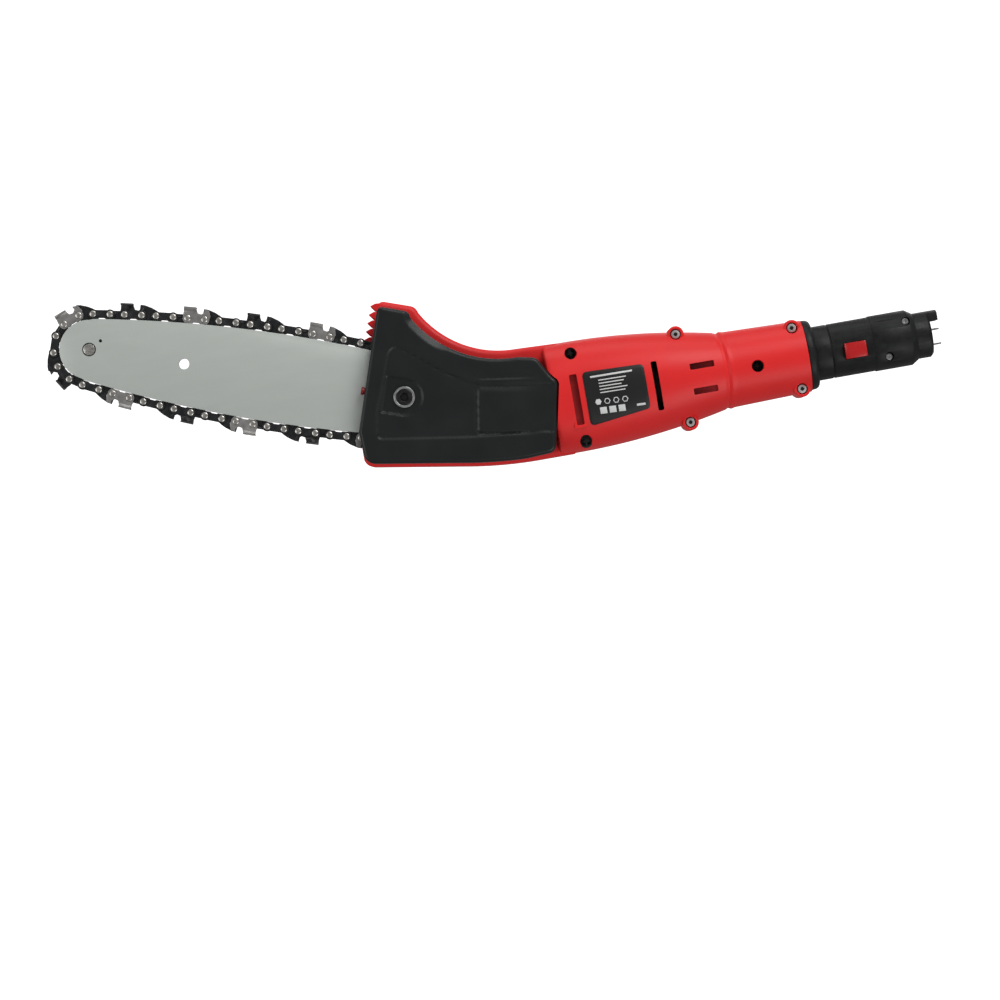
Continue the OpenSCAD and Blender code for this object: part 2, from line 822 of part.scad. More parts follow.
module retaining_clip() {
    color("silver")
    difference() {
        ring(-21.3, -20.4, 4.05, 7.2);
        box_between([drive_x - 2.4, -30, drive_z - 20], [drive_x + 2.4, 0, drive_z]);
    }
}

module front_bearing() {
    color("silver")
    ring(-9.6, -4.2, shaft_r + shaft_fit, bearing_r);
}

module back_bearing() {
    color("silver")
    ring(14.4, 19, shaft_r + shaft_fit, 9);
}

// Crown gear: radial teeth that stand towards the pinion
module crown_gear() {
    tooth_h = 2.4;
    disc_y = pinion_r + 1.2;
    color("dimgray")
    difference() {
        union() {
            ring(disc_y, disc_y + 4, shaft_r, crown_r + crown_face / 2);
            ring(3.5, disc_y + 0.1, shaft_r, 9);
            for (i = [0:crown_teeth - 1])
                translate([drive_x, 0, drive_z]) rotate([0, i * 360 / crown_teeth, 0])
                    translate([crown_r - crown_face / 2, disc_y - tooth_h, -0.65])
                        cube([crown_face, tooth_h + 0.1, 1.3]);
        }
        on_shaft(-30, 30, shaft_r);
    }
}

// Bearing bracket that holds the back bearing and shields the gear
module gear_case() {
    case_r = crown_r + 4;
    color([0.35, 0.35, 0.36])
    difference() {
        union() {
            ring(12.6, 14.3, shaft_r + 2, case_r);
            ring(14.2, 19.2, 9, 11.4);
            ring(2, 12.7, case_r - 2, case_r);
        }
        box_between([drive_x + 8, -1, drive_z - 9], [drive_x + 40, 12, drive_z + 9]);
    }
}

// ---------- motor ----------
module motor_can() {
    color("gray")
    difference() {
        along_x(motor_front, motor_back, can_r, motor_z);
        along_x(motor_front + 1.6, motor_back + 1, can_r - 1.4, motor_z);
        along_x(motor_front - 1, motor_back, motor_shaft_r + shaft_fit, motor_z);
    }
}

module motor_magnets() {
    color("dimgray")
    difference() {
        along_x(motor_front + 8, motor_back - 12, can_r - 1.42, motor_z);
        along_x(motor_front, motor_back, can_r - 5.4, motor_z);
        box_between([motor_front, -30, motor_z - 4], [motor_back, 30, motor_z + 4]);
    }
}

module motor_armature() {
    color([0.45, 0.3, 0.2])
    difference() {
        union() {
            along_x(motor_front + 9, motor_back - 13, can_r - 6.2, motor_z);
            along_x(motor_front + 5, motor_back - 9, 9, motor_z);
            along_x(motor_back - 9, motor_back - 1.5, 5.5, motor_z);
        }
        along_x(motor_front, motor_back, motor_shaft_r, motor_z);
        for (i = [0:4]) translate([0, 0, motor_z]) rotate([i * 72, 0, 0])
            box_between([motor_front, -0.9, 7.6], [motor_back - 10, 0.9, 20]);
    }
}

module motor_shaft() {
    color("silver")
    along_x(motor_front - motor_gap - 2, motor_back + 16, motor_shaft_r - 0.01, motor_z);
}

module motor_pinion() {
    color("dimgray")
    translate([motor_front - motor_gap - 1.6, 0, motor_z]) rotate([90, 0, 90]) linear_extrude(5.4)
    difference() {
        union() {
            circle(r = pinion_r - 1.3);
            for (i = [0:pinion_teeth - 1])
                rotate((i + 0.5) * 360 / pinion_teeth)
                    polygon([[2.6, -0.85], [pinion_r, -0.62], [pinion_r + 0.95, -0.36],
                        [pinion_r + 0.95, 0.36], [pinion_r, 0.62], [2.6, 0.85]]);
        }
        circle(r = motor_shaft_r);
    }
}

module motor_end_cap() {
    color([0.1, 0.1, 0.1])
    difference() {
        union() {
            along_x(motor_back + 0.02, motor_back + 4, can_r, motor_z);
            along_x(motor_back + 3.9, motor_back + 6, 6, motor_z);
        }
        along_x(motor_back - 1, motor_back + 8, motor_shaft_r + shaft_fit, motor_z);
        along_x(motor_back - 1, motor_back + 2, 12, motor_z);
    }
}

module carbon_brushes() {
    color([0.2, 0.2, 0.2])
    for (s = [-1, 1])
        box_between([motor_back - 7, s > 0 ? 5.55 : -11, motor_z - 2],
            [motor_back - 3, s > 0 ? 11 : -5.55, motor_z + 2]);
}

module cooling_fan() {
    color([0.15, 0.15, 0.15])
    difference() {
        union() {
            along_x(motor_back + 7.5, motor_back + 15, 5, motor_z);
            along_x(motor_back + 7.5, motor_back + 9, 15.5, motor_z);
            for (i = [0:8]) translate([0, 0, motor_z]) rotate([i * 40, 0, 0])
                box_between([motor_back + 8.9, -0.6, 4], [motor_back + 15, 0.6, 15.5]);
        }
        along_x(motor_back, motor_back + 20, motor_shaft_r, motor_z);
    }
}

housing_front();
housing_back();
sprocket_cover();
rating_plate();
plug_collar();
plug_shell_front();
plug_shell_back();
release_button_front();
release_button_back();
button_spring_front();
button_spring_back();
contact_carrier();
contact_blades();
plug_screws();
housing_screws();
lug_screws();
motor_leads();
guide_bar();
nose_rivet();
nose_sprocket();
chain_drive_links();
chain_cutters_near();
chain_cutters_far();
chain_tie_straps();
chain_rivets();
bar_stud();
bar_nut();
nut_washer();
bar_pad();
tension_screw();
tension_slider();
drive_sprocket();
drive_shaft();
front_bearing();
back_bearing();
retaining_clip();
crown_gear();
gear_case();
motor_can();
motor_magnets();
motor_armature();
motor_shaft();
motor_pinion();
motor_end_cap();
carbon_brushes();
cooling_fan();
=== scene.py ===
import json
import math

import bmesh
import bpy
from mathutils import Matrix, Vector
from mathutils.geometry import delaunay_2d_cdt


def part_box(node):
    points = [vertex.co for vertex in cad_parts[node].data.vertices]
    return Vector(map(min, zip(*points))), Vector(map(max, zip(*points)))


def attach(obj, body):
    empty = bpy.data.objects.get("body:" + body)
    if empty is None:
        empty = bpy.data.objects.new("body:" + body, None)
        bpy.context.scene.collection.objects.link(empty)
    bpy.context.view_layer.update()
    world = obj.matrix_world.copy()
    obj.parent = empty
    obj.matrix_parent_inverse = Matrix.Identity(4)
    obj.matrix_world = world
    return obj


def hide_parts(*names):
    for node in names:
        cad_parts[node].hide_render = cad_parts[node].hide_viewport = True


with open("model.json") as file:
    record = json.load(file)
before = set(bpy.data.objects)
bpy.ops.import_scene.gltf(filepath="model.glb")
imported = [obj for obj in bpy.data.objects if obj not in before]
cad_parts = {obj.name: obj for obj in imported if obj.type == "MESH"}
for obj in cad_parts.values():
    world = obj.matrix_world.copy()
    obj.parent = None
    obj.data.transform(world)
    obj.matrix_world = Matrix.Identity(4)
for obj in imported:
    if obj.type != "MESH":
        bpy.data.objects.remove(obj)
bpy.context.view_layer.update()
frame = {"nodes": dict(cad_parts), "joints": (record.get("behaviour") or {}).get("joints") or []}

# Pole saw head. Lengths in this script are millimetres; MM turns them into the frame's metres.
MM = 0.001
JOINTS = {j["name"]: j for j in frame["joints"]}


def low(node):
    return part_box(node)[0] / MM


def high(node):
    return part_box(node)[1] / MM


# ---------- driving sizes, from the frame ----------
NOSE = Vector(JOINTS["nose_spin"]["pos_m"]) / MM
DRIVE = Vector(JOINTS["drive_spin"]["pos_m"]) / MM
NUT = Vector(JOINTS["clamp_nut_turn"]["pos_m"]) / MM
BEND = math.atan2(NOSE.z - DRIVE.z, DRIVE.x - NOSE.x)
BAR_Y = NOSE.y

COVER_FRONT = low("sprocket_cover").y
COVER_BACK = high("sprocket_cover").y
SAW_BACK = high("housing_back").y
BARREL_HALF = -low("housing_front").y
HOUSING_END = high("housing_front").x
PLATE_LOW = low("rating_plate")
PLATE_HIGH = high("rating_plate")

WALL = 2.4
BARREL_R = 34.0
NECK_R = 23.4
NECK_END_R = 22.0
BARREL_LOW = 0.3
BULGE_START = -209.5
BARREL_START = -198.0
NECK_START = -103.0
CLAMP_START = -74.0
SCOOP_R = 62.5
SCOOP_C = (-225.0, 34.5 + SCOOP_R)
BASE_R = 270.0
BASE_C = (-221.0, BASE_R - 34.5)
SEAM = 0.35
BORE_R = 17.05
LUG_DEPTH = 13.5
LUG_WELL_R = 3.3
RECESS_WELL_R = 3.6
# The cover: how far its concave edge stays inside the shell's, and the round of its rim
COVER_SET_IN = 6.0
COVER_EDGE = 2.4
# Places in Y well in front of the head, where cuts from the front begin
FAR_FRONT = -45.0
CUT_START = -40.0
# Screw places in X and Z, the vents' ends (lowest and highest X, then Z) and their corner radii
RECESSES = [(-193.0, 25.6), (-192.8, -28.6), (-83.0, -1.8)]
LUGS = [(-128.0, 26.1), (-128.2, -28.0), (-58.0, 17.6), (-58.0, -19.8)]
BLIND_SLOT = (-196.6, -192, -18.3, 12.4)
TALL_SLOT = (-146.8, -143.2, -18, 11.8)
LONG_SLOTS = [4.6, -10.5]
LONG_SLOT_ENDS = (-123.8, -108.9)
LONG_SLOT_HALF = 1.9
WIDE_CORNER = 0.9
LONG_CORNER = 0.7
# Share of full strength at which the white background lights the object
SKY_LIGHT = 0.24
# Noise values that the materials map onto their own ranges
NOISE_LOW, NOISE_HIGH = 0.25, 0.75


# ---------- outlines in X and Z ----------
def arc(centre, r, a0, a1, n):
    """Points along an arc, angles in degrees."""
    out = []
    for i in range(n + 1):
        a = math.radians(a0 + (a1 - a0) * i / n)
        out.append((centre[0] + r * math.cos(a), centre[1] + r * math.sin(a)))
    return out


def saw_outline():
    return (
        arc((-300, 73), 3.8, 160, 75, 8)
        + arc((-285.5, 65.6), 6, 72, 30, 6)
        + arc(SCOOP_C, SCOOP_R, 210, 270, 40)
        + [(-200, 33.5), (-200, -34.5)]
        + arc(BASE_C, BASE_R, 270, 260, 18)
        + arc((-321, -15), 6.5, 260, 190, 8)
        + [(-327.4, 4)]
    )


def cover_outline():
    return (
        arc((-300.6, 69), 3.4, 160, 76, 8)
        + arc((-289.5, 62.6), 5.6, 73, 36, 6)
        + arc(SCOOP_C, SCOOP_R + COVER_SET_IN, 210, 270, 40)
        + arc((-218, 20.5), 6.5, 80, 38, 6)
        + [(-208, 15.6)]
        + arc((-208, 8.6), 4.4, 55, -8, 7)
        + arc((-216.2, -26.6), 5.2, -12, -80, 8)
        + arc(BASE_C, BASE_R - 1.8, 268, 260, 16)
        + arc((-319.4, -13), 7, 258, 190, 8)
        + [(-326.8, 1)]
    )


def spaced(points, step):
    """The same closed outline with extra points, so that no side is longer than step."""
    out = []
    for i, p in enumerate(points):
        q = points[(i + 1) % len(points)]
        n = max(1, int(math.dist(p, q) / step))
        out += [(p[0] + (q[0] - p[0]) * k / n, p[1] + (q[1] - p[1]) * k / n) for k in range(n)]
    return out


def inset(points, d, least=0.5):
    """A clockwise outline moved inwards by d; least keeps sharp corners from running far out."""
    out, n = [], len(points)
    for i in range(n):
        p = Vector(points[i])
        a = (p - Vector(points[i - 1])).normalized()
        b = (Vector(points[(i + 1) % n]) - p).normalized()
        m = Vector((a.y + b.y, -a.x - b.x)).normalized()
        out.append(tuple(p + m * d / max(least, m.dot(Vector((b.y, -b.x))))))
    return out


def unfold(points, d):
    """An inset outline without the small folds left at tight corners."""
    moved, n = inset(points, d), len(points)
    kept = []
    for i in range(n):
        j = (i + 1) % n
        step = (points[j][0] - points[i][0], points[j][1] - points[i][1])
        if step[0] * (moved[j][0] - moved[i][0]) + step[1] * (moved[j][1] - moved[i][1]) > 0:
            kept.append(moved[i])
    return kept


def smooth(a, b, x):
    t = min(1.0, max(0.0, (x - a) / (b - a)))
    return t * t * (3 - 2 * t)


def side_distance(p, a, b):
    """Distance from p to the line piece a-b."""
    ab, ap = (b[0] - a[0], b[1] - a[1]), (p[0] - a[0], p[1] - a[1])
    t = max(0.0, min(1.0, (ap[0] * ab[0] + ap[1] * ab[1]) / (ab[0] ** 2 + ab[1] ** 2)))
    return math.hypot(ap[0] - t * ab[0], ap[1] - t * ab[1])


def path_distance(p, path):
    return min(side_distance(p, path[i], path[i + 1]) for i in range(len(path) - 1))


def inside(p, loop):
    """How far p lies inside a closed outline; negative outside."""
    hit, n = False, len(loop)
    for i in range(n):
        a, b = loop[i], loop[(i + 1) % n]
        if (a[1] > p[1]) != (b[1] > p[1]) and p[0] < (b[0] - a[0]) * (p[1] - a[1]) / (b[1] - a[1]) + a[0]:
            hit = not hit
    d = path_distance(p, loop + loop[:1])
    return d if hit else -d


# ---------- mesh helpers ----------
def mesh_piece(name, verts, faces, body, material, angle=32):
    """A piece from points in millimetres, riding on a body."""
    mesh = bpy.data.meshes.new(name)
    mesh.from_pydata([Vector(v) * MM for v in verts], [], faces)
    made = bpy.data.objects.new(name, mesh)
    bpy.context.scene.collection.objects.link(made)
    tidy(made, angle)
    if body:
        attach(made, body)
        mesh.materials.append(material)
    return made


def tidy(made, angle=32):
    """Merges doubles, turns the faces outwards and shades smooth up to an angle."""
    bm = bmesh.new()
    bm.from_mesh(made.data)
    bmesh.ops.remove_doubles(bm, verts=bm.verts, dist=0.002 * MM)
    bmesh.ops.dissolve_degenerate(bm, edges=bm.edges, dist=0.001 * MM)
    bmesh.ops.recalc_face_normals(bm, faces=bm.faces)
    bm.to_mesh(made.data)
    bm.free()
    made.data.shade_smooth()
    made.data.set_sharp_from_angle(angle=math.radians(angle))


def quads(n, rows, base=0):
    """Faces between neighbouring closed rows of n points, counted from the point base."""
    faces = []
    for k in range(rows - 1):
        a, b = base + k * n, base + (k + 1) * n
        for i in range(n):
            j = (i + 1) % n
            faces.append((a + i, a + j, b + j, b + i))
    return faces


def solid(name, rings):
    """A loose closed solid for a boolean step: closed rings of equal length with capped ends."""
    verts = [v for ring in rings for v in ring]
    n, rows = len(rings[0]), len(rings)
    faces = quads(n, rows)
    faces.append(tuple(range(n)))
    faces.append(tuple(range((rows - 1) * n, rows * n)))
    return mesh_piece(name, verts, faces, None, None)


def prism(name, outline, steps):
    """Rings of an outline along Y: steps are (y, inset)."""
    return solid(name, [[(x, y, z) for x, z in inset(outline, d)] for y, d in steps])


def fillet_steps(y, direction, r, n=5):
    """Steps that round an edge: from the full outline to the face at y; direction points into the solid."""
    out = []
    for i in range(n + 1):
        a = math.pi / 2 * i / n
        out.append((y + direction * r * (1 - math.sin(a)), r * (1 - math.cos(a))))
    return out


def lathe(name, profile, place, axis="Y", n=48):
    """Rings from (along, radius) pairs about an axis through place."""
    rings = []
    for along, r in profile:
        ring = []
        for i in range(n):
            a = 2 * math.pi * i / n
            c, s = r * math.cos(a), r * math.sin(a)
            if axis == "Y":
                ring.append((place[0] + c, place[1] + along, place[2] + s))
            else:
                ring.append((place[0] + along, place[1] + c, place[2] + s))
        rings.append(ring)
    return solid(name, rings)


def box_solid(name, a, b, r=0.0):
    """A block along Y whose outline in X and Z has rounded corners."""
    if r:
        outline = []
        corners = (
            (b[0] - r, b[2] - r, 90),
            (b[0] - r, a[2] + r, 0),
            (a[0] + r, a[2] + r, -90),
            (a[0] + r, b[2] - r, -180),
        )
        for cx, cz, a0 in corners:
            outline += arc((cx, cz), r, a0, a0 - 90, 5)
    else:
        outline = [(a[0], b[2]), (b[0], b[2]), (b[0], a[2]), (a[0], a[2])]
    return solid(name, [[(x, a[1], z) for x, z in outline], [(x, b[1], z) for x, z in outline]])


def combine(made, other, how):
    """One exact boolean step; the other solid is used up."""
    step = made.modifiers.new(how, "BOOLEAN")
    step.operation, step.object, step.solver = how, other, "EXACT"
    graph = bpy.context.evaluated_depsgraph_get()
    mesh = bpy.data.meshes.new_from_object(made.evaluated_get(graph), depsgraph=graph)
    made.modifiers.clear()
    old = made.data
    made.data = mesh
    bpy.data.meshes.remove(old)
    mesh = other.data
    bpy.data.objects.remove(other)
    bpy.data.meshes.remove(mesh)


def as_piece(made, name, body, material, angle=32):
    made.name = made.data.name = name
    tidy(made, angle)
    made.data.materials.clear()
    made.data.materials.append(material)
    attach(made, body)
    return made


def islands(node):
    """Boxes of the separate solids of a CAD node, in millimetres."""
    mesh = frame["nodes"][node].data
    key = [tuple(round(c, 6) for c in v.co) for v in mesh.vertices]
    first = {}
    for k in key:
        first.setdefault(k, k)

    def root(k):
        while first[k] != k:
            first[k] = first[first[k]]
            k = first[k]
        return k

    for edge in mesh.edges:
        a, b = (root(key[i]) for i in edge.vertices)
        if a != b:
            first[a] = b
    groups = {}
    for k in first:
        groups.setdefault(root(k), []).append(k)
    return [
        (Vector(map(min, zip(*g))) / MM, Vector(map(max, zip(*g))) / MM)
        for g in groups.values()
    ]


# ---------- materials ----------
def nodes_of(name):
    material = bpy.data.materials.new(name)
    material.use_nodes = True
    tree = material.node_tree
    return material, tree, tree.nodes["Principled BSDF"]


def link(tree, a, b):
    tree.links.new(a, b)


def noise(tree, scale, detail, stretch=None):
    """Noise over the piece's own place; stretch draws it out along one axis."""
    coord = tree.nodes.new("ShaderNodeTexCoord")
    made = tree.nodes.new("ShaderNodeTexNoise")
    made.inputs["Scale"].default_value = scale
    made.inputs["Detail"].default_value = detail
    if stretch:
        mapping = tree.nodes.new("ShaderNodeMapping")
        mapping.inputs["Scale"].default_value = stretch
        link(tree, coord.outputs["Object"], mapping.inputs["Vector"])
        link(tree, mapping.outputs["Vector"], made.inputs["Vector"])
    else:
        link(tree, coord.outputs["Object"], made.inputs["Vector"])
    return made


def spread(tree, source, low_value, high_value):
    """Maps a noise's middle range onto two values."""
    made = tree.nodes.new("ShaderNodeMapRange")
    made.inputs["From Min"].default_value = NOISE_LOW
    made.inputs["From Max"].default_value = NOISE_HIGH
    made.inputs["To Min"].default_value = low_value
    made.inputs["To Max"].default_value = high_value
    link(tree, source.outputs["Fac"], made.inputs["Value"])
    return made


def two_tone(tree, source, colour, change):
    """A colour that drifts by a share of itself."""
    ramp = tree.nodes.new("ShaderNodeValToRGB")
    ramp.color_ramp.elements[0].position = 0.3
    ramp.color_ramp.elements[1].position = 0.7
    ramp.color_ramp.elements[0].color = [c * (1 - change) for c in colour] + [1]
    ramp.color_ramp.elements[1].color = [min(1.0, c * (1 + change)) for c in colour] + [1]
    link(tree, source.outputs["Fac"], ramp.inputs["Fac"])
    return ramp


def finish(tree, shader, colour, change, scale, rough, rough_change, grain, grain_depth, stretch=None):
    """Colour drift, roughness drift and fine grain shared by every material."""
    drift = noise(tree, scale, 5.0, stretch)
    link(tree, two_tone(tree, drift, colour, change).outputs["Color"], shader.inputs["Base Color"])
    rough_map = spread(tree, drift, rough - rough_change, rough + rough_change)
    link(tree, rough_map.outputs["Result"], shader.inputs["Roughness"])
    fine = noise(tree, grain, 3.0, stretch)
    bump = tree.nodes.new("ShaderNodeBump")
    bump.inputs["Strength"].default_value = 1.0
    bump.inputs["Distance"].default_value = grain_depth * MM
    link(tree, fine.outputs["Fac"], bump.inputs["Height"])
    link(tree, bump.outputs["Normal"], shader.inputs["Normal"])


def plastic(name, colour, rough=0.42, change=0.05, depth=0.012, specular=0.45):
    material, tree, shader = nodes_of(name)
    drift_scale, rough_change, grain_scale = 60.0, 0.04, 2600.0
    shader.inputs["Specular IOR Level"].default_value = specular
    finish(tree, shader, colour, change, drift_scale, rough, rough_change, grain_scale, depth)
    return material


def metal(
    name, colour, rough=0.32, change=0.12, grain=1800.0, depth=0.01, scale=220.0, stretch=None, metallic=1.0
):
    material, tree, shader = nodes_of(name)
    shader.inputs["Metallic"].default_value = metallic
    finish(tree, shader, colour, change, scale, rough, 0.07, grain, depth, stretch)
    return material


def red_shell():
    return plastic("red_shell", (0.84, 0.025, 0.026), rough=0.40, change=0.03, depth=0.010, specular=0.28)


def cover_black():
    colour = (0.0115, 0.0135, 0.0138)
    return plastic("cover_black", colour, rough=0.40, change=0.10, depth=0.014, specular=0.34)


def plug_black():
    material, tree, shader = nodes_of("plug_black")
    shader.inputs["Specular IOR Level"].default_value = 0.22
    finish(tree, shader, (0.0115, 0.0120, 0.0122), 0.35, 170.0, 0.46, 0.08, 1500.0, 0.03)
    return material


def label_film():
    return plastic("label_film", (0.0155, 0.0165, 0.0155), rough=0.40, change=0.06, depth=0.004, specular=0.3)


def label_print():
    return plastic("label_print", (0.72, 0.73, 0.72), rough=0.5, change=0.04, depth=0.002)


def button_red():
    return plastic("button_red", (0.52, 0.011, 0.013), rough=0.25, change=0.05, depth=0.006, specular=0.5)


# The shell's red painted darker, as painted shade for the insides seen through the vents
def painted_shade_red():
    return plastic("painted_shade_red", (0.32, 0.012, 0.014), rough=0.45, change=0.08)


def tension_dark_red():
    return plastic("tension_dark_red", (0.22, 0.012, 0.016), rough=0.4)


def inner_plastic():
    return plastic("inner_plastic", (0.015, 0.015, 0.016), rough=0.5, change=0.12)


def lead_cover():
    return plastic("lead_cover", (0.02, 0.02, 0.02), rough=0.45, change=0.15)


def bar_lacquer():
    """Grey lacquer with the faint lengthwise grain of ground steel."""
    material, tree, shader = nodes_of("bar_lacquer")
    shader.inputs["Metallic"].default_value = 0.25
    shader.inputs["Specular IOR Level"].default_value = 0.5
    finish(tree, shader, (0.575, 0.61, 0.575), 0.012, 40.0, 0.38, 0.03, 900.0, 0.003, (1.0, 1.0, 5.0))
    return material


def bright_steel():
    return metal("bright_steel", (0.80, 0.80, 0.79), rough=0.4)


def rivet_steel():
    return metal("rivet_steel", (0.60, 0.58, 0.54), rough=0.30, change=0.22, scale=900.0)


def gear_steel():
    return metal("gear_steel", (0.34, 0.34, 0.35), rough=0.34)


def chain_blued():
    colour = (0.030, 0.031, 0.033)
    return metal("chain_blued", colour, rough=0.36, change=0.35, depth=0.03, grain=1200.0, metallic=0.55)


def cutter_chrome():
    return metal("cutter_chrome", (0.36, 0.35, 0.34), rough=0.36, change=0.16, depth=0.012, metallic=0.7)


# The same cutter steel painted dark, as painted shade on the far cutters, which turn away from the light
def cutter_painted_shade():
    return metal("cutter_painted_shade", (0.075, 0.075, 0.078), rough=0.38, change=0.2, metallic=0.6)


def blade_metal():
    return metal("blade_metal", (0.30, 0.30, 0.31), rough=0.34)


def zinc_screw():
    return metal("zinc_screw", (0.52, 0.53, 0.53), rough=0.32, change=0.18, scale=400.0)


def dark_screw():
    return metal("dark_screw", (0.10, 0.10, 0.105), rough=0.34, change=0.25, scale=400.0)


def plug_screw():
    return metal("plug_screw", (0.58, 0.59, 0.58), rough=0.4, change=0.3, scale=500.0)


def black_oxide():
    return metal("black_oxide", (0.022, 0.022, 0.023), rough=0.34, change=0.25, metallic=0.5)


def cast_metal():
    return metal("cast_metal", (0.45, 0.45, 0.46), rough=0.5, change=0.15, depth=0.04, grain=900.0)


def motor_steel():
    return metal("motor_steel", (0.46, 0.46, 0.47), rough=0.3, stretch=(6.0, 1.0, 1.0))


def magnet_ferrite():
    return plastic("magnet_ferrite", (0.05, 0.05, 0.055), rough=0.6, change=0.2, depth=0.03)


def winding_copper():
    return metal("winding_copper", (0.55, 0.22, 0.09), rough=0.35, change=0.2, stretch=(1.0, 8.0, 8.0))


def stage_white():
    material, tree, shader = nodes_of("stage_white")
    shader.inputs["Roughness"].default_value = 0.9
    shader.inputs["Emission Color"].default_value = (1.0, 1.0, 1.0, 1.0)
    shader.inputs["Emission Strength"].default_value = 1.0
    drift = noise(tree, 0.8, 2.0)
    link(tree, two_tone(tree, drift, (0.84, 0.84, 0.84), 0.01).outputs["Color"], shader.inputs["Base Color"])
    return material


MATERIALS = {}


def paint(maker):
    """One shared copy of a material."""
    if maker not in MATERIALS:
        MATERIALS[maker] = maker()
    return MATERIALS[maker]


# ---------- red housing ----------
def body_r(x):
    """Half height of the barrel and neck at x."""
    t = max(0.0, min(1.0, (x - BARREL_START) / (NECK_START - BARREL_START)))
    n = max(0.0, (x - NECK_START) / (HOUSING_END - NECK_START))
    return BARREL_R - (BARREL_R - NECK_R) * t * t - (NECK_R - NECK_END_R) * n


def section(x, d):
    """Half height, half width and squareness of the body at x, set in by d."""
    r = body_r(x)
    t = smooth(BARREL_START, NECK_START, x)
    width = r * (BARREL_HALF / BARREL_R + (1 - BARREL_HALF / BARREL_R) * t)
    # A low ridge just behind the neck's start, with a fine groove before it
    ridge = 0.45 * math.exp(-(((x - NECK_START - 1.6) / 1.5) ** 2))
    groove = 0.5 * math.exp(-(((x - NECK_START + 0.6) / 1.2) ** 2))
    lift = ridge - groove if d == 0 else 0.0
    return r - d + lift, width - d + lift, 2.35 - 0.35 * t


def skin_y(x, z):
    """How far the body's skin stands from the parting plane."""
    h, w, n = section(x, 0)
    share = min(1.0, abs(z + BARREL_LOW) / h)
    return w * (1 - share**n) ** (1 / n)


def body_ring(x, side, d, shrink):
    """Half a section, from its top round to its bottom, closed along the parting plane."""
    h, w, n = section(x, d + shrink)
    ring = []
    for i in range(41):
        a = math.pi / 2 - math.pi * i / 40
        c, s = math.cos(a), math.sin(a)
        y = w * abs(c) ** (2 / n)
        z = h * math.copysign(abs(s) ** (2 / n), s)
        bow = 2.2 * math.exp(-(((x - NECK_START) / 9) ** 2)) * c * c
        ring.append((x + bow, side * y, z - BARREL_LOW))
    seam = SEAM if d == 0 else -1.0
    ring[0] = (ring[0][0], side * seam, ring[0][2] - (0.3 if d == 0 else 0))
    ring[-1] = (ring[-1][0], side * seam, ring[-1][2] + (0.3 if d == 0 else 0))
    edge = 0.02 if d == 0 else -1.0
    ring.append((x, side * edge, -h - BARREL_LOW + (0.7 if d == 0 else 0)))
    ring.append((x, side * edge, h - BARREL_LOW - (0.7 if d == 0 else 0)))
    return ring


def body_solid(side, x0, x1, d):
    """Half of the barrel and neck, set in by d; the outer one (d = 0) has a rounded front end."""
    stations = []
    if d == 0:
        stations = [(x0, 2.2), (x0 + 0.35, 1.2), (x0 + 1.0, 0.45), (x0 + 2.0, 0.08)]
        x0 = x0 + 3
    steps = max(2, int((x1 - x0) / 2.0))
    xs = [x0 + (x1 - x0) * i / steps for i in range(steps + 1)]
    if x0 < NECK_START < x1:
        xs = sorted(set(xs + [NECK_START + k * 0.5 for k in range(-6, 9)]))
    stations += [(x, 0.0) for x in xs]
    return solid("body", [body_ring(x, side, d, shrink) for x, shrink in stations])


def spike_solid(k, y0, y1):
    """One bumper spike on the sloping front edge."""
    turn = math.radians(-20)
    pitch = 5.2
    cx = -304.4 + k * pitch * math.sin(turn)
    cz = 74.6 - k * pitch * math.cos(turn)
    shape = [(2, 2.4), (-0.6, 1.7), (-3.0, -0.2), (-3.1, -0.7), (-0.5, -2.4), (2, -2.8)]
    c, s = math.cos(turn), math.sin(turn)
    outline = [(cx + x * c - z * s, cz + x * s + z * c) for x, z in shape]
    steps = [(y0 + 0.5, 0.0), (y1 - 0.5, 0.0)]
    if y0 < -1:
        steps = [(y0, 0.45)] + steps
    if y1 > 1:
        steps = steps + [(y1, 0.45)]
    return solid("spike", [[(x, y, z) for x, z in inset(outline[::-1], d)] for y, d in steps])


def lug_solid(p, side):
    """A round screw lug with softened ends."""
    profile = [(0, 4.6), (0.4, 5.0), (LUG_DEPTH - 1.2, 5.0), (LUG_DEPTH - 0.5, 4.8), (LUG_DEPTH, 4.2)]
    return lathe("lug", [(side * y, r) for y, r in profile], (p[0], 0, p[1]), n=40)


def well_solid(p, r, bottom):
    """A screw well with a softened mouth at the skin."""
    mouth = -skin_y(*p)
    if p in LUGS:
        mouth = min(mouth, -LUG_DEPTH)
    profile = [(bottom, r), (mouth + 0.9, r), (mouth + 0.35, r + 0.25)]
    profile += [(mouth, r + 0.4), (FAR_FRONT, r + 0.4)]
    return lathe("well", profile, (p[0], 0, p[1]), n=40)


def vent(made, ends, y1, r):
    """Cuts one vent from the front to y1."""
    x0, x1, z0, z1 = ends
    combine(made, box_solid("slot", (x0, CUT_START, z0), (x1, y1, z1), r), "DIFFERENCE")


def saw_solid(side):
    """The flat saw end, with a rounded rim and a fine groove at the seam."""
    outline = spaced(saw_outline(), 3.0)
    seam = [(side * 0.02, 0.7), (side * SEAM, 0.3), (side * (SEAM + 0.4), 0.0)]
    if side < 0:
        steps = seam + fillet_steps(COVER_BACK, 1, 3.2)
    else:
        steps = seam + fillet_steps(SAW_BACK, -1, 3.0, 6)
    return prism("saw", outline, steps)


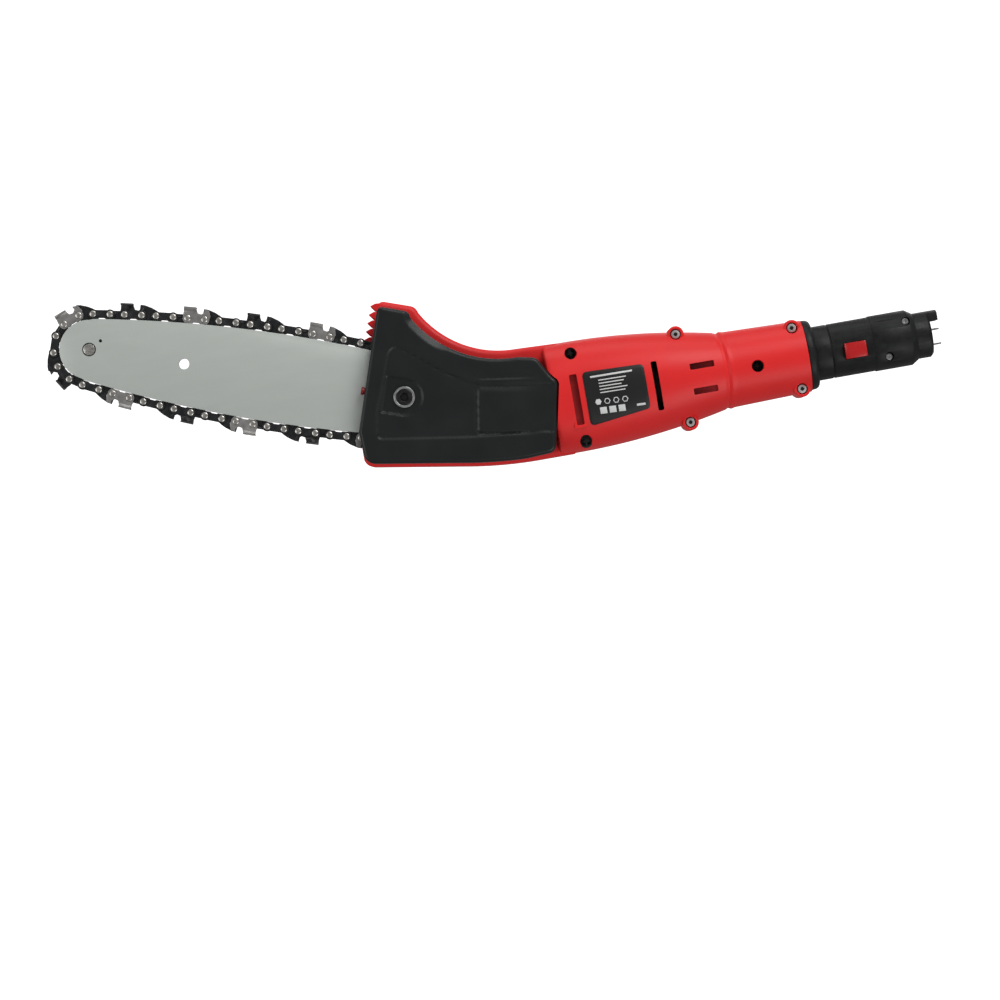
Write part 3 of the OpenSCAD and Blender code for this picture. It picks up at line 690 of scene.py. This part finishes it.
def housing_shell(side):
    """One clamshell half: -1 is the half towards the viewer."""
    made = body_solid(side, BULGE_START, HOUSING_END, 0)
    combine(made, saw_solid(side), "UNION")
    for p in LUGS:
        combine(made, lug_solid(p, side), "UNION")
    y0, y1 = (COVER_BACK + 1.5, 0.0) if side < 0 else (0.0, 5.0)
    for k in range(5):
        combine(made, spike_solid(k, y0, y1), "UNION")
    combine(made, body_solid(side, BULGE_START + WALL, CLAMP_START, WALL), "DIFFERENCE")
    outline = spaced(saw_outline(), 6.0)
    y_in = COVER_BACK + WALL if side < 0 else SAW_BACK - WALL
    combine(made, prism("cavity", outline, [(-side * 1.0, WALL), (y_in, WALL)]), "DIFFERENCE")
    bore = [(CLAMP_START - 2, BORE_R), (HOUSING_END + 2, BORE_R)]
    combine(made, lathe("bore", bore, (0, 0, 0), "X", 64), "DIFFERENCE")
    return made


def housing_front():
    """The front half, with the cover's seat, the vents and the screw wells."""
    made = housing_shell(-1)
    seat = inset(spaced(cover_outline(), 4.0), -0.4)
    combine(made, prism("seat", seat, [(FAR_FRONT, 0), (COVER_BACK, 0)]), "DIFFERENCE")
    combine(made, lathe("bearing", [(COVER_BACK - 1, 11), (1, 11)], (DRIVE.x, 0, DRIVE.z)), "DIFFERENCE")
    combine(made, box_solid("slot_floor", (-198.2, -26.8, -19.8), (-190.4, -20.5, 13.9)), "UNION")
    vent(made, BLIND_SLOT, -23.4, WIDE_CORNER)
    vent(made, TALL_SLOT, -10, WIDE_CORNER)
    for z in LONG_SLOTS:
        vent(made, LONG_SLOT_ENDS + (z - LONG_SLOT_HALF, z + LONG_SLOT_HALF), -8, LONG_CORNER)
    for p in RECESSES:
        combine(made, well_solid(p, RECESS_WELL_R, -14), "DIFFERENCE")
    for p in LUGS:
        combine(made, well_solid(p, LUG_WELL_R, -10.5), "DIFFERENCE")
    as_piece(made, "front_shell", "saw_head", paint(red_shell), 28)
    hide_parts("housing_front")


def housing_back():
    made = housing_shell(1)
    as_piece(made, "back_shell", "saw_head", paint(red_shell), 28)
    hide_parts("housing_back")


def joined(parts):
    """Several solids as one."""
    for other in parts[1:]:
        combine(parts[0], other, "UNION")
    return parts[0]


def recess_shade_discs():
    """Dark discs at the bottom of the wells in the front shell: painted shade on the screw seats."""
    seats = [lathe("seat", [(-15.6, 3.9), (-13.8, 3.9)], (p[0], 0, p[1]), n=32) for p in RECESSES]
    seats += [lathe("seat", [(-10.7, 3.2), (-10.2, 3.2)], (p[0], 0, p[1]), n=32) for p in LUGS]
    as_piece(joined(seats), "screw_seat_shade", "saw_head", paint(inner_plastic))


def vent_shade_plates():
    """Dark red plates behind the vents: the shell's red painted darker, as painted shade of the inside seen
    through them.
    """
    floors = [box_solid("floor", (-197.2, -23.6, -18.9), (-191.4, -23.2, 13.0), 0.5)]
    for z in LONG_SLOTS:
        floors.append(box_solid("floor", (-125.0, -20.4, z - 3.0), (-107.7, -19.8, z + 3.0), 0.5))
    as_piece(joined(floors), "vent_painted_shade", "saw_head", paint(painted_shade_red))


def socket_shade_marks():
    """Driver recesses, drawn as dark six-sided patches on the bright lug screws: painted shade in place of
    real sockets.
    """
    face = low("lug_screws").y
    marks = [lathe("socket", [(face - 0.04, 1.25), (face + 0.4, 1.25)], (p[0], 0, p[1]), n=6) for p in LUGS]
    as_piece(joined(marks), "socket_painted_shade", "saw_head", paint(black_oxide))


# ---------- black cover ----------
def plateau():
    """Outline of the sunk middle of the cover."""
    return (
        [(-316.2, -3.0), (-313.9, 10.3), (-305.9, 31.0)]
        + arc((-296.0, 40.5), 6.2, 165, 62, 7)
        + [(-283.2, 38.0), (-275.4, 31.3), (-268.1, 26.1), (-256.5, 18.6), (-250.2, 16.0)]
        + [(-236.0, 13.1), (-190.0, 7.6)]
        + [(-190.0, -23.0), (-222.3, -17.6), (-258.0, -14.5)]
        + arc((-313.6, -3.4), 2.6, 262, 190, 5)
    )


# Points of plateau() up to here are its upper line
UPPER_LINE_END = 18


def cover_relief(x, z, shape, panel, edge_gap):
    """Height of the cover's face above its base plane at one place."""
    p = (x, z)
    d = inside(p, shape)
    height = -0.8 * smooth(-0.4, 0.4, d)
    # Soft groove along the upper line of the sunk middle
    upper = path_distance(p, shape[1:UPPER_LINE_END])
    height -= 0.3 * math.exp(-((upper / 0.9) ** 2)) * smooth(-210, -222, x)
    # Sunk D-shaped pad round the nut
    v = math.hypot(x - NUT.x, z - NUT.z)
    c, s = math.cos(BEND), math.sin(BEND)
    along = (x - NUT.x) * c - (z - NUT.z) * s
    across = (x - NUT.x) * s + (z - NUT.z) * c
    pad = min(v - 11.0, 99.0) if along > 0 else max(abs(across) - 11.0, -along - 12.6)
    height -= 1.15 * smooth(0.55, -0.55, pad)
    # Raised panel over the sprocket, fading out towards the barrel
    q = inside(p, panel)
    fade = smooth(-212, -232, x) * smooth(0.4, 4.5, upper)
    height += fade * (0.7 * smooth(-0.4, 0.5, q) - 0.5 * math.exp(-(((q + 0.9) / 0.8) ** 2)))
    return height * smooth(1.2, 3.4, edge_gap)


def chamfer_width(x):
    """Width of the plain chamfer along the concave upper edge, widest near its left end."""
    return 4.2 * smooth(-290, -286, x) * smooth(-256, -275, x)


def chamfer_drop(p, gap):
    """How deep the chamfer cuts at a place that lies gap inside the outline."""
    return 0.5 * max(0.0, chamfer_width(p[0]) - gap)


def cover_face(outline, edge):
    """Front face of the cover as a fine triangle sheet inside the rounded rim."""
    shape = plateau()
    panel = [(-250.8, 19.0), (-200.0, 12.0), (-200.0, -21.0)] + arc((-253.4, -10.0), 2.2, 262, 172, 5)
    border = spaced(unfold(outline, edge), 0.8)
    step = 1.0
    points = list(border)
    xs = [p[0] for p in border]
    zs = [p[1] for p in border]
    x = min(xs)
    row = 0
    while x < max(xs):
        z = min(zs) + (step / 2 if row % 2 else 0)
        while z < max(zs):
            if inside((x, z), border) > step * 0.6:
                points.append((x, z))
            z += step
        x += step * 0.87
        row += 1
    n = len(border)
    loop = [(i, (i + 1) % n) for i in range(n)]
    found = delaunay_2d_cdt([Vector(p) for p in points], loop, [], 1, 1e-6)
    verts = []
    for v in found[0]:
        gap = inside((v.x, v.y), outline)
        rim = math.dist((v.x, v.y), SCOOP_C) - (SCOOP_R + COVER_SET_IN)
        drop = chamfer_drop((v.x, v.y), max(rim, edge))
        verts.append((v.x, COVER_FRONT + drop - cover_relief(v.x, v.y, shape, panel, gap), v.y))
    lift = [cover_relief(p[0], p[1], shape, panel, inside(p, outline)) for p in border]
    return verts, [tuple(f) for f in found[2]], border, lift


def sprocket_cover():
    outline = cover_outline()
    edge = COVER_EDGE
    verts, faces, border, lift = cover_face(outline, edge)
    # Rings from the face's border round the rim and back to the joint face, where the relief dies out
    rim = [(COVER_FRONT, edge)]
    round_steps = 6
    for i in range(1, round_steps + 1):
        a = math.pi / 2 * i / round_steps
        rim.append((COVER_FRONT + edge * (1 - math.cos(a)), edge * (1 - math.sin(a))))
    rim += [(COVER_BACK - 1.4, 0.0), (COVER_BACK - 1.0, 0.0), (COVER_BACK, 0.3)]
    base = len(verts)
    count = len(border)
    for k, (y, d) in enumerate(rim):
        for p, q, h in zip(inset(border, d - edge, 0.6), border, lift):
            near_scoop = math.dist(q, SCOOP_C) - (SCOOP_R + COVER_SET_IN) < edge + 0.4
            drop = chamfer_drop(q, d) if near_scoop else 0.0
            verts.append((p[0], max(y, COVER_FRONT + drop) - h * max(0, 1 - k / round_steps), p[1]))
    faces += quads(count, len(rim), base)
    last = base + (len(rim) - 1) * count
    faces.append(tuple(range(last, last + count)))
    made = mesh_piece("cover", verts, faces, None, None)
    hollow = prism("hollow", spaced(outline, 6.0), [(COVER_FRONT + WALL + 0.4, 1.3), (COVER_BACK + 2, 1.3)])
    post = lathe("post", [(-30, 10.0), (BAR_Y - 2, 10.0)], (NUT.x, 0, NUT.z))
    combine(hollow, post, "DIFFERENCE")
    combine(made, hollow, "DIFFERENCE")
    combine(made, bar_box("mouth", (140, -38, -10), (180, 38, 4.2)), "DIFFERENCE")
    combine(made, lathe("nut_bore", [(CUT_START, 6.6), (BAR_Y - 9, 6.6)], (NUT.x, 0, NUT.z)), "DIFFERENCE")
    combine(made, lathe("stud_bore", [(CUT_START, 4.6), (BAR_Y + 2, 4.6)], (NUT.x, 0, NUT.z)), "DIFFERENCE")
    as_piece(made, "side_cover", "saw_head", paint(cover_black), 40)
    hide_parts("sprocket_cover")


def bar_point(u, v, w):
    """A place given in the bar's own frame."""
    c, s = math.cos(BEND), math.sin(BEND)
    return (NOSE.x + u * c + v * s, BAR_Y - w, NOSE.z - u * s + v * c)


def bar_box(name, a, b):
    corners = [(a[0], b[1]), (b[0], b[1]), (b[0], a[1]), (a[0], a[1])]
    return solid(name, [[bar_point(u, v, w) for u, v in corners] for w in (a[2], b[2])])


# ---------- guide bar ----------
def bar_outline(d):
    """Edge of the guide bar in its own frame, set in by d from the true edge."""
    reach = math.dist((NOSE.x, NOSE.z), (DRIVE.x, DRIVE.z))
    # The chain's line: two long arcs between the nose and the drive sprocket; the bar lies inside it
    line_r, nose_r, drive_r, tail = 830.0, 21.6, 18.4, 226.0
    below_chain, end_r = 3.05, 18.0
    u0 = (reach**2 + (line_r - nose_r) ** 2 - (line_r - drive_r) ** 2) / (2 * reach)
    v0 = math.sqrt((line_r - nose_r) ** 2 - u0**2)
    r = line_r - below_chain - d
    tail_turn = math.degrees(math.acos((tail - 5 - u0) / r))
    nose_turn = math.degrees(math.acos(-u0 / r))
    open_turn = 180 - math.degrees(math.atan(v0 / u0))
    return (
        arc((u0, -v0), r, nose_turn, tail_turn, 40)
        + [(tail - d, 12 - d), (tail - d, -12 + d)]
        + arc((u0, v0), r, -tail_turn, -nose_turn, 40)
        + arc((0, 0), end_r - d, -open_turn, open_turn - 360, 40)
    )


def bar_solid(name, steps):
    """A plate in the bar's frame: steps are (w, inset)."""
    return solid(name, [[bar_point(u, v, w) for u, v in bar_outline(d)] for w, d in steps])


def bar_hole(made, u, v, r):
    combine(made, lathe("hole", [(-4.0, r), (4.0, r)], bar_point(u, v, 0), n=36), "DIFFERENCE")


def guide_bar():
    """Two rails on a core, with a fine rounded edge."""
    half = (high("guide_bar").y - low("guide_bar").y) / 2
    groove_half = 0.655
    steps = [(groove_half, 0.0), (half - 0.3, 0.0), (half - 0.1, 0.08), (half, 0.3)]
    made = bar_solid("near_rail", steps)
    combine(made, bar_solid("far_rail", [(-w, d) for w, d in steps]), "UNION")
    core = bar_solid("core", [(-1.0, 4.6), (1.0, 4.6)])
    combine(core, lathe("nose_room", [(-3, 18), (3, 18)], bar_point(0, 0, 0)), "DIFFERENCE")
    combine(made, core, "UNION")
    reach_nut = math.dist((NOSE.x, NOSE.z), (NUT.x, NUT.z))
    slot_start, slot_end, slot_r = reach_nut - 10, reach_nut + 22, 4.1
    # The nose rivet, the middle hole, the grease hole, the tensioner's hole and the slot's ends
    holes = [(0, 0, 3.5), (58, 0, 3.2), (6, 6.2, 1.0), (reach_nut - 19, 0, 2.5)]
    holes += [(slot_start, 0, slot_r), (slot_end, 0, slot_r)]
    for u, v, r in holes:
        bar_hole(made, u, v, r)
    combine(made, bar_box("slot", (slot_start, -slot_r, -5), (slot_end, slot_r, 5)), "DIFFERENCE")
    as_piece(made, "bar_body", "bar_and_chain", paint(bar_lacquer), 30)
    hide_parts("guide_bar")
    # Dark ring round the nose rivet, and a dark plug in the grease hole as painted shade of its depth
    ring = lathe("ring", [(-half - 0.04, 4.15), (half + 0.04, 4.15)], bar_point(0, 0, 0))
    combine(ring, lathe("ring_core", [(-4, 3.45), (4, 3.45)], bar_point(0, 0, 0)), "DIFFERENCE")
    grease = lathe("grease", [(-half + 0.3, 1.05), (half - 0.3, 1.05)], bar_point(6, 6.2, 0), n=24)
    as_piece(joined([ring, grease]), "nose_marks", "bar_and_chain", paint(black_oxide))


# ---------- label ----------
def label_patch(name, outline, stand, skirt, material, step=1.6):
    """A thin sheet that stands a little off the barrel's skin and follows it, closed by a skirt."""
    border = spaced(outline, step)
    xs, zs = [p[0] for p in border], [p[1] for p in border]
    points = list(border)
    x = min(xs) + step
    while x < max(xs):
        z = min(zs) + step
        while z < max(zs):
            if inside((x, z), border) > step * 0.5:
                points.append((x, z))
            z += step
        x += step
    n = len(border)
    loop = [(i, (i + 1) % n) for i in range(n)]
    found = delaunay_2d_cdt([Vector(p) for p in points], loop, [], 1, 1e-6)
    verts = [(v.x, -skin_y(v.x, v.y) - stand, v.y) for v in found[0]]
    faces = [tuple(f) for f in found[2]]
    base = len(verts)
    for d, y in ((0.0, stand), (-0.25, stand - 0.12), (-0.3, -skirt)):
        verts += [(x, -skin_y(x, z) - y, z) for x, z in inset(border, d)]
    faces += quads(n, 3, base)
    faces.append(tuple(range(base + 2 * n, base + 3 * n)))
    return mesh_piece(name, verts, faces, "saw_head", material)


def rating_label():
    x0, x1 = PLATE_LOW.x, PLATE_HIGH.x
    outline = (
        arc((x0 + 2.4, 9.9), 2.4, 180, 92, 6)
        + arc((x1 - 2.4, 8.8), 2.4, 88, 0, 6)
        + arc((x1 - 2.4, -13.2), 2.4, 0, -80, 6)
        + arc((x0 + 2.4, -17.2), 2.4, -84, -180, 6)
    )
    made = label_patch("label", outline, 0.35, 0.3, paint(label_film))
    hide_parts("rating_plate")


def label_marks():
    """Plain bars and blank shapes in place of the print, with no lettering."""
    x0, x1 = PLATE_LOW.x, PLATE_HIGH.x
    # Bars as (start, length, Z, height), the first two as shares of the plate's width
    bars = [(0.12, 0.76, 8.9, 0.8)] + [(0.24, 0.50 - 0.05 * (k % 3), 6.2 - 1.9 * k, 0.34) for k in range(5)]
    print_shapes, film_shapes = [], []
    for start, length, z, height in bars:
        a, b = x0 + (x1 - x0) * start, x0 + (x1 - x0) * (start + length * 0.9)
        top, bottom = z + height / 2, z - height / 2
        print_shapes.append([(a, top), (b, top - 0.3), (b, bottom - 0.3), (a, bottom)])
    for k in range(4):
        x, z = x0 + 6.6 + k * 5.4, -6.6 - k * 0.3
        print_shapes.append(arc((x, z), 1.75, 180, -120, 5))
        if k:
            film_shapes.append(arc((x, z), 1.2, 180, -120, 5))
    for k in range(3):
        a, top = x0 + 7.0 + k * 5.6, -10.2 - k * 0.2
        print_shapes.append([(a, top), (a + 3.8, top - 0.2), (a + 3.8, top - 3.8), (a, top - 3.6)])
    print_shapes.append([(x1 - 7.5, -11.8), (x1 - 2.5, -12.0), (x1 - 2.5, -13.0), (x1 - 7.5, -12.8)])
    for k, shape in enumerate(print_shapes):
        label_patch("label_mark_%02d" % k, shape, 0.42, 0.0, paint(label_print), 1.1)
    for k, shape in enumerate(film_shapes):
        label_patch("label_gap_%02d" % k, shape, 0.50, 0.0, paint(label_film), 1.1)


# ---------- chain rivets ----------
def dome_profile(r, height, n=5):
    """(along, radius) pairs of a shallow dome on a short rim."""
    turns = [math.pi / 2 * i / n for i in range(n + 1)]
    return [(height * 0.25 + height * 0.75 * math.sin(a), r * math.cos(a) + 0.01) for a in turns]


def chain_rivets():
    """Domed heads on both sides of the chain and the pins between them."""
    verts, faces = [], []
    seg = 20
    for a, b in islands("chain_rivets"):
        cx, cz = (a.x + b.x) / 2, (a.z + b.z) / 2
        half = (b.y - a.y) / 2 - 0.7
        r = (b.x - a.x) / 2
        dome = dome_profile(r, 0.75)
        pin = [(-half, r), (-half + 0.01, r * 0.75), (half - 0.01, r * 0.75), (half, r)]
        profile = [(-half - y, q) for y, q in dome[::-1]] + pin + [(half + y, q) for y, q in dome]
        base = len(verts)
        for y, q in profile:
            for i in range(seg):
                t = 2 * math.pi * i / seg
                verts.append((cx + q * math.cos(t), BAR_Y + y, cz + q * math.sin(t)))
        rows = len(profile)
        faces += quads(seg, rows, base)
        faces.append(tuple(base + i for i in range(seg)))
        faces.append(tuple(base + (rows - 1) * seg + i for i in range(seg)))
    made = mesh_piece("domed_rivets", verts, faces, "bar_and_chain", paint(rivet_steel), 40)
    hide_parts("chain_rivets")


# ---------- plug ----------
def plug_collar():
    """The black ring at the end of the neck, rounded towards the plug."""
    r = BORE_R
    x0, x1 = low("plug_collar").x, high("plug_collar").x
    top = (high("plug_collar").z - low("plug_collar").z) / 2
    profile = [(x0, r), (x0, top - 0.5), (x0 + 0.3, top - 0.1), (x0 + 0.8, top), (x0 + 1.8, top - 0.1)]
    for i in range(1, 8):
        a = math.pi / 2 * i / 7
        profile.append((x0 + 1.8 + (x1 - x0 - 2.0) * math.sin(a), top - 0.1 - 2.4 * (1 - math.cos(a))))
    profile += [(x1, top - 3.0), (x1, r)]
    n = 72
    verts = []
    for x, q in profile:
        for i in range(n):
            t = 2 * math.pi * i / n
            verts.append((x, q * math.cos(t), q * math.sin(t)))
    # The last row closes on the first, through the bore
    last = (len(profile) - 1) * n
    faces = quads(n, len(profile))
    for i in range(n):
        j = (i + 1) % n
        faces.append((last + i, last + j, j, i))
    made = mesh_piece("collar_ring", verts, faces, "saw_head", paint(plug_black), 40)
    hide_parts("plug_collar")


# ---------- CAD nodes that keep their shape and get soft edges ----------
def soften(node, maker, width):
    """Paints a CAD node and rounds its edges by width."""
    made = frame["nodes"][node]
    made.data.materials.clear()
    made.data.materials.append(paint(maker))
    made.data.shade_smooth()
    weld = made.modifiers.new("weld", "WELD")
    weld.merge_threshold = 0.0005 * MM
    bevel = made.modifiers.new("soft_edges", "BEVEL")
    bevel.width = width * MM
    bevel.segments = 2
    bevel.limit_method = "ANGLE"
    bevel.angle_limit = math.radians(35)
    bevel.harden_normals = True
    bevel.use_clamp_overlap = True


# Material of each CAD node, and how far its edges are rounded; 0 leaves the edges as they are
CAD_LOOKS = {
    "plug_shell_front": (plug_black, 0.45),
    "plug_shell_back": (plug_black, 0.45),
    "release_button_front": (button_red, 0.7),
    "release_button_back": (button_red, 0.7),
    "button_spring_front": (bright_steel, 0),
    "button_spring_back": (bright_steel, 0),
    "contact_carrier": (inner_plastic, 0.3),
    "contact_blades": (blade_metal, 0.35),
    "plug_screws": (plug_screw, 0.25),
    "housing_screws": (dark_screw, 0.3),
    "lug_screws": (bright_steel, 0.3),
    "motor_leads": (lead_cover, 0),
    "guide_bar": (bar_lacquer, 0),
    "nose_rivet": (rivet_steel, 0.2),
    "nose_sprocket": (gear_steel, 0.1),
    "chain_drive_links": (chain_blued, 0.2),
    "chain_cutters_near": (cutter_chrome, 0.2),
    # The far cutters take the cutter steel painted dark, as painted shade
    "chain_cutters_far": (cutter_painted_shade, 0.2),
    "chain_tie_straps": (chain_blued, 0.22),
    "bar_stud": (black_oxide, 0.3),
    "bar_nut": (black_oxide, 0.35),
    "nut_washer": (zinc_screw, 0.15),
    "bar_pad": (gear_steel, 0.3),
    "tension_screw": (tension_dark_red, 0.3),
    "tension_slider": (gear_steel, 0.3),
    "drive_sprocket": (gear_steel, 0.3),
    "drive_shaft": (bright_steel, 0.3),
    "front_bearing": (bright_steel, 0.3),
    "back_bearing": (bright_steel, 0.3),
    "retaining_clip": (bright_steel, 0.15),
    "crown_gear": (gear_steel, 0.15),
    "gear_case": (cast_metal, 0.3),
    "motor_can": (motor_steel, 0.4),
    "motor_magnets": (magnet_ferrite, 0),
    "motor_armature": (winding_copper, 0.2),
    "motor_shaft": (bright_steel, 0.3),
    "motor_pinion": (gear_steel, 0.1),
    "motor_end_cap": (inner_plastic, 0.4),
    "carbon_brushes": (magnet_ferrite, 0.2),
    "cooling_fan": (inner_plastic, 0.15),
    "housing_front": (red_shell, 0),
    "housing_back": (red_shell, 0),
    "sprocket_cover": (cover_black, 0),
    "rating_plate": (label_film, 0),
    "plug_collar": (plug_black, 0),
    "chain_rivets": (rivet_steel, 0),
}


def cad_looks():
    for node, (maker, width) in CAD_LOOKS.items():
        if width:
            soften(node, maker, width)
        else:
            made = frame["nodes"][node]
            made.data.materials.clear()
            made.data.materials.append(paint(maker))


# ---------- stage, lights and camera ----------
def stage():
    """A pale floor that curves up into a backdrop far behind."""
    near, far, floor, top, r, half_width = -6.0, 4.0, -2.4, 4.0, 1.6, 9.0
    path = [(near, floor)]
    for i in range(13):
        a = math.pi / 2 * i / 12
        path.append((far - r + r * math.sin(a), floor + r - r * math.cos(a)))
    path.append((far, top))
    verts, faces = [], []
    for y, z in path:
        verts += [(-half_width, y, z), (half_width, y, z)]
    for k in range(len(path) - 1):
        faces.append((2 * k, 2 * k + 1, 2 * k + 3, 2 * k + 2))
    mesh = bpy.data.meshes.new("backdrop")
    mesh.from_pydata(verts, [], faces)
    made = bpy.data.objects.new("backdrop", mesh)
    bpy.context.scene.collection.objects.link(made)
    mesh.shade_smooth()
    mesh.materials.append(stage_white())
    made.visible_diffuse = False
    made.visible_glossy = False


def area_light(name, place, aim, size, energy):
    light = bpy.data.lights.new(name, "AREA")
    light.shape = "RECTANGLE"
    light.size, light.size_y = size
    light.energy = energy
    made = bpy.data.objects.new(name, light)
    made.location = place
    made.rotation_euler = (Vector(aim) - Vector(place)).to_track_quat("-Z", "Y").to_euler()
    bpy.context.scene.collection.objects.link(made)


def lights():
    aim = (-0.24, -0.02, 0.02)
    area_light("key", (0.75, -1.15, 1.35), aim, (1.2, 0.9), 20)
    area_light("fill", (0.7, -1.3, -1.4), aim, (1.3, 1.1), 13)
    area_light("side", (-2.0, -1.0, 0.1), aim, (1.4, 1.4), 11)
    area_light("top", (-0.2, 0.1, 1.9), aim, (1.8, 0.9), 8)
    area_light("back", (0.4, 1.9, 0.8), aim, (1.6, 1.2), 5)
    world = bpy.data.worlds.new("studio")
    bpy.context.scene.world = world
    world.use_nodes = True
    # A white background that lights the object only softly
    tree = world.node_tree
    sky = tree.nodes["Background"]
    sky.inputs["Color"].default_value = (1.0, 1.0, 1.0, 1.0)
    path = tree.nodes.new("ShaderNodeLightPath")
    strength = tree.nodes.new("ShaderNodeMapRange")
    strength.inputs["To Min"].default_value = SKY_LIGHT
    strength.inputs["To Max"].default_value = 1.0
    link(tree, path.outputs["Is Camera Ray"], strength.inputs["Value"])
    link(tree, strength.outputs["Result"], sky.inputs["Strength"])


def camera():
    """Looks along +Y, rolled so that the pole's axis rises to the right as in the picture."""
    roll = math.radians(10)
    # Width of the picture at the bar, and the camera's distance from it
    width, distance = 0.605, 1.88
    centre = Vector((-0.2503, BAR_Y * MM, -0.0544))
    right = Vector((math.cos(roll), 0, -math.sin(roll)))
    up = Vector((math.sin(roll), 0, math.cos(roll)))
    back = Vector((0, -1, 0))
    data = bpy.data.cameras.new("camera")
    data.sensor_width = 36
    data.lens = data.sensor_width * distance / width
    made = bpy.data.objects.new("camera", data)
    turn = Matrix((right, up, back)).transposed().to_4x4()
    made.matrix_world = Matrix.Translation(centre + back * distance) @ turn
    bpy.context.scene.collection.objects.link(made)
    bpy.context.scene.camera = made
    bpy.context.scene.view_settings.view_transform = "Standard"


housing_front()
housing_back()
recess_shade_discs()
vent_shade_plates()
socket_shade_marks()
sprocket_cover()
guide_bar()
rating_label()
label_marks()
chain_rivets()
plug_collar()
cad_looks()
stage()
lights()
camera()
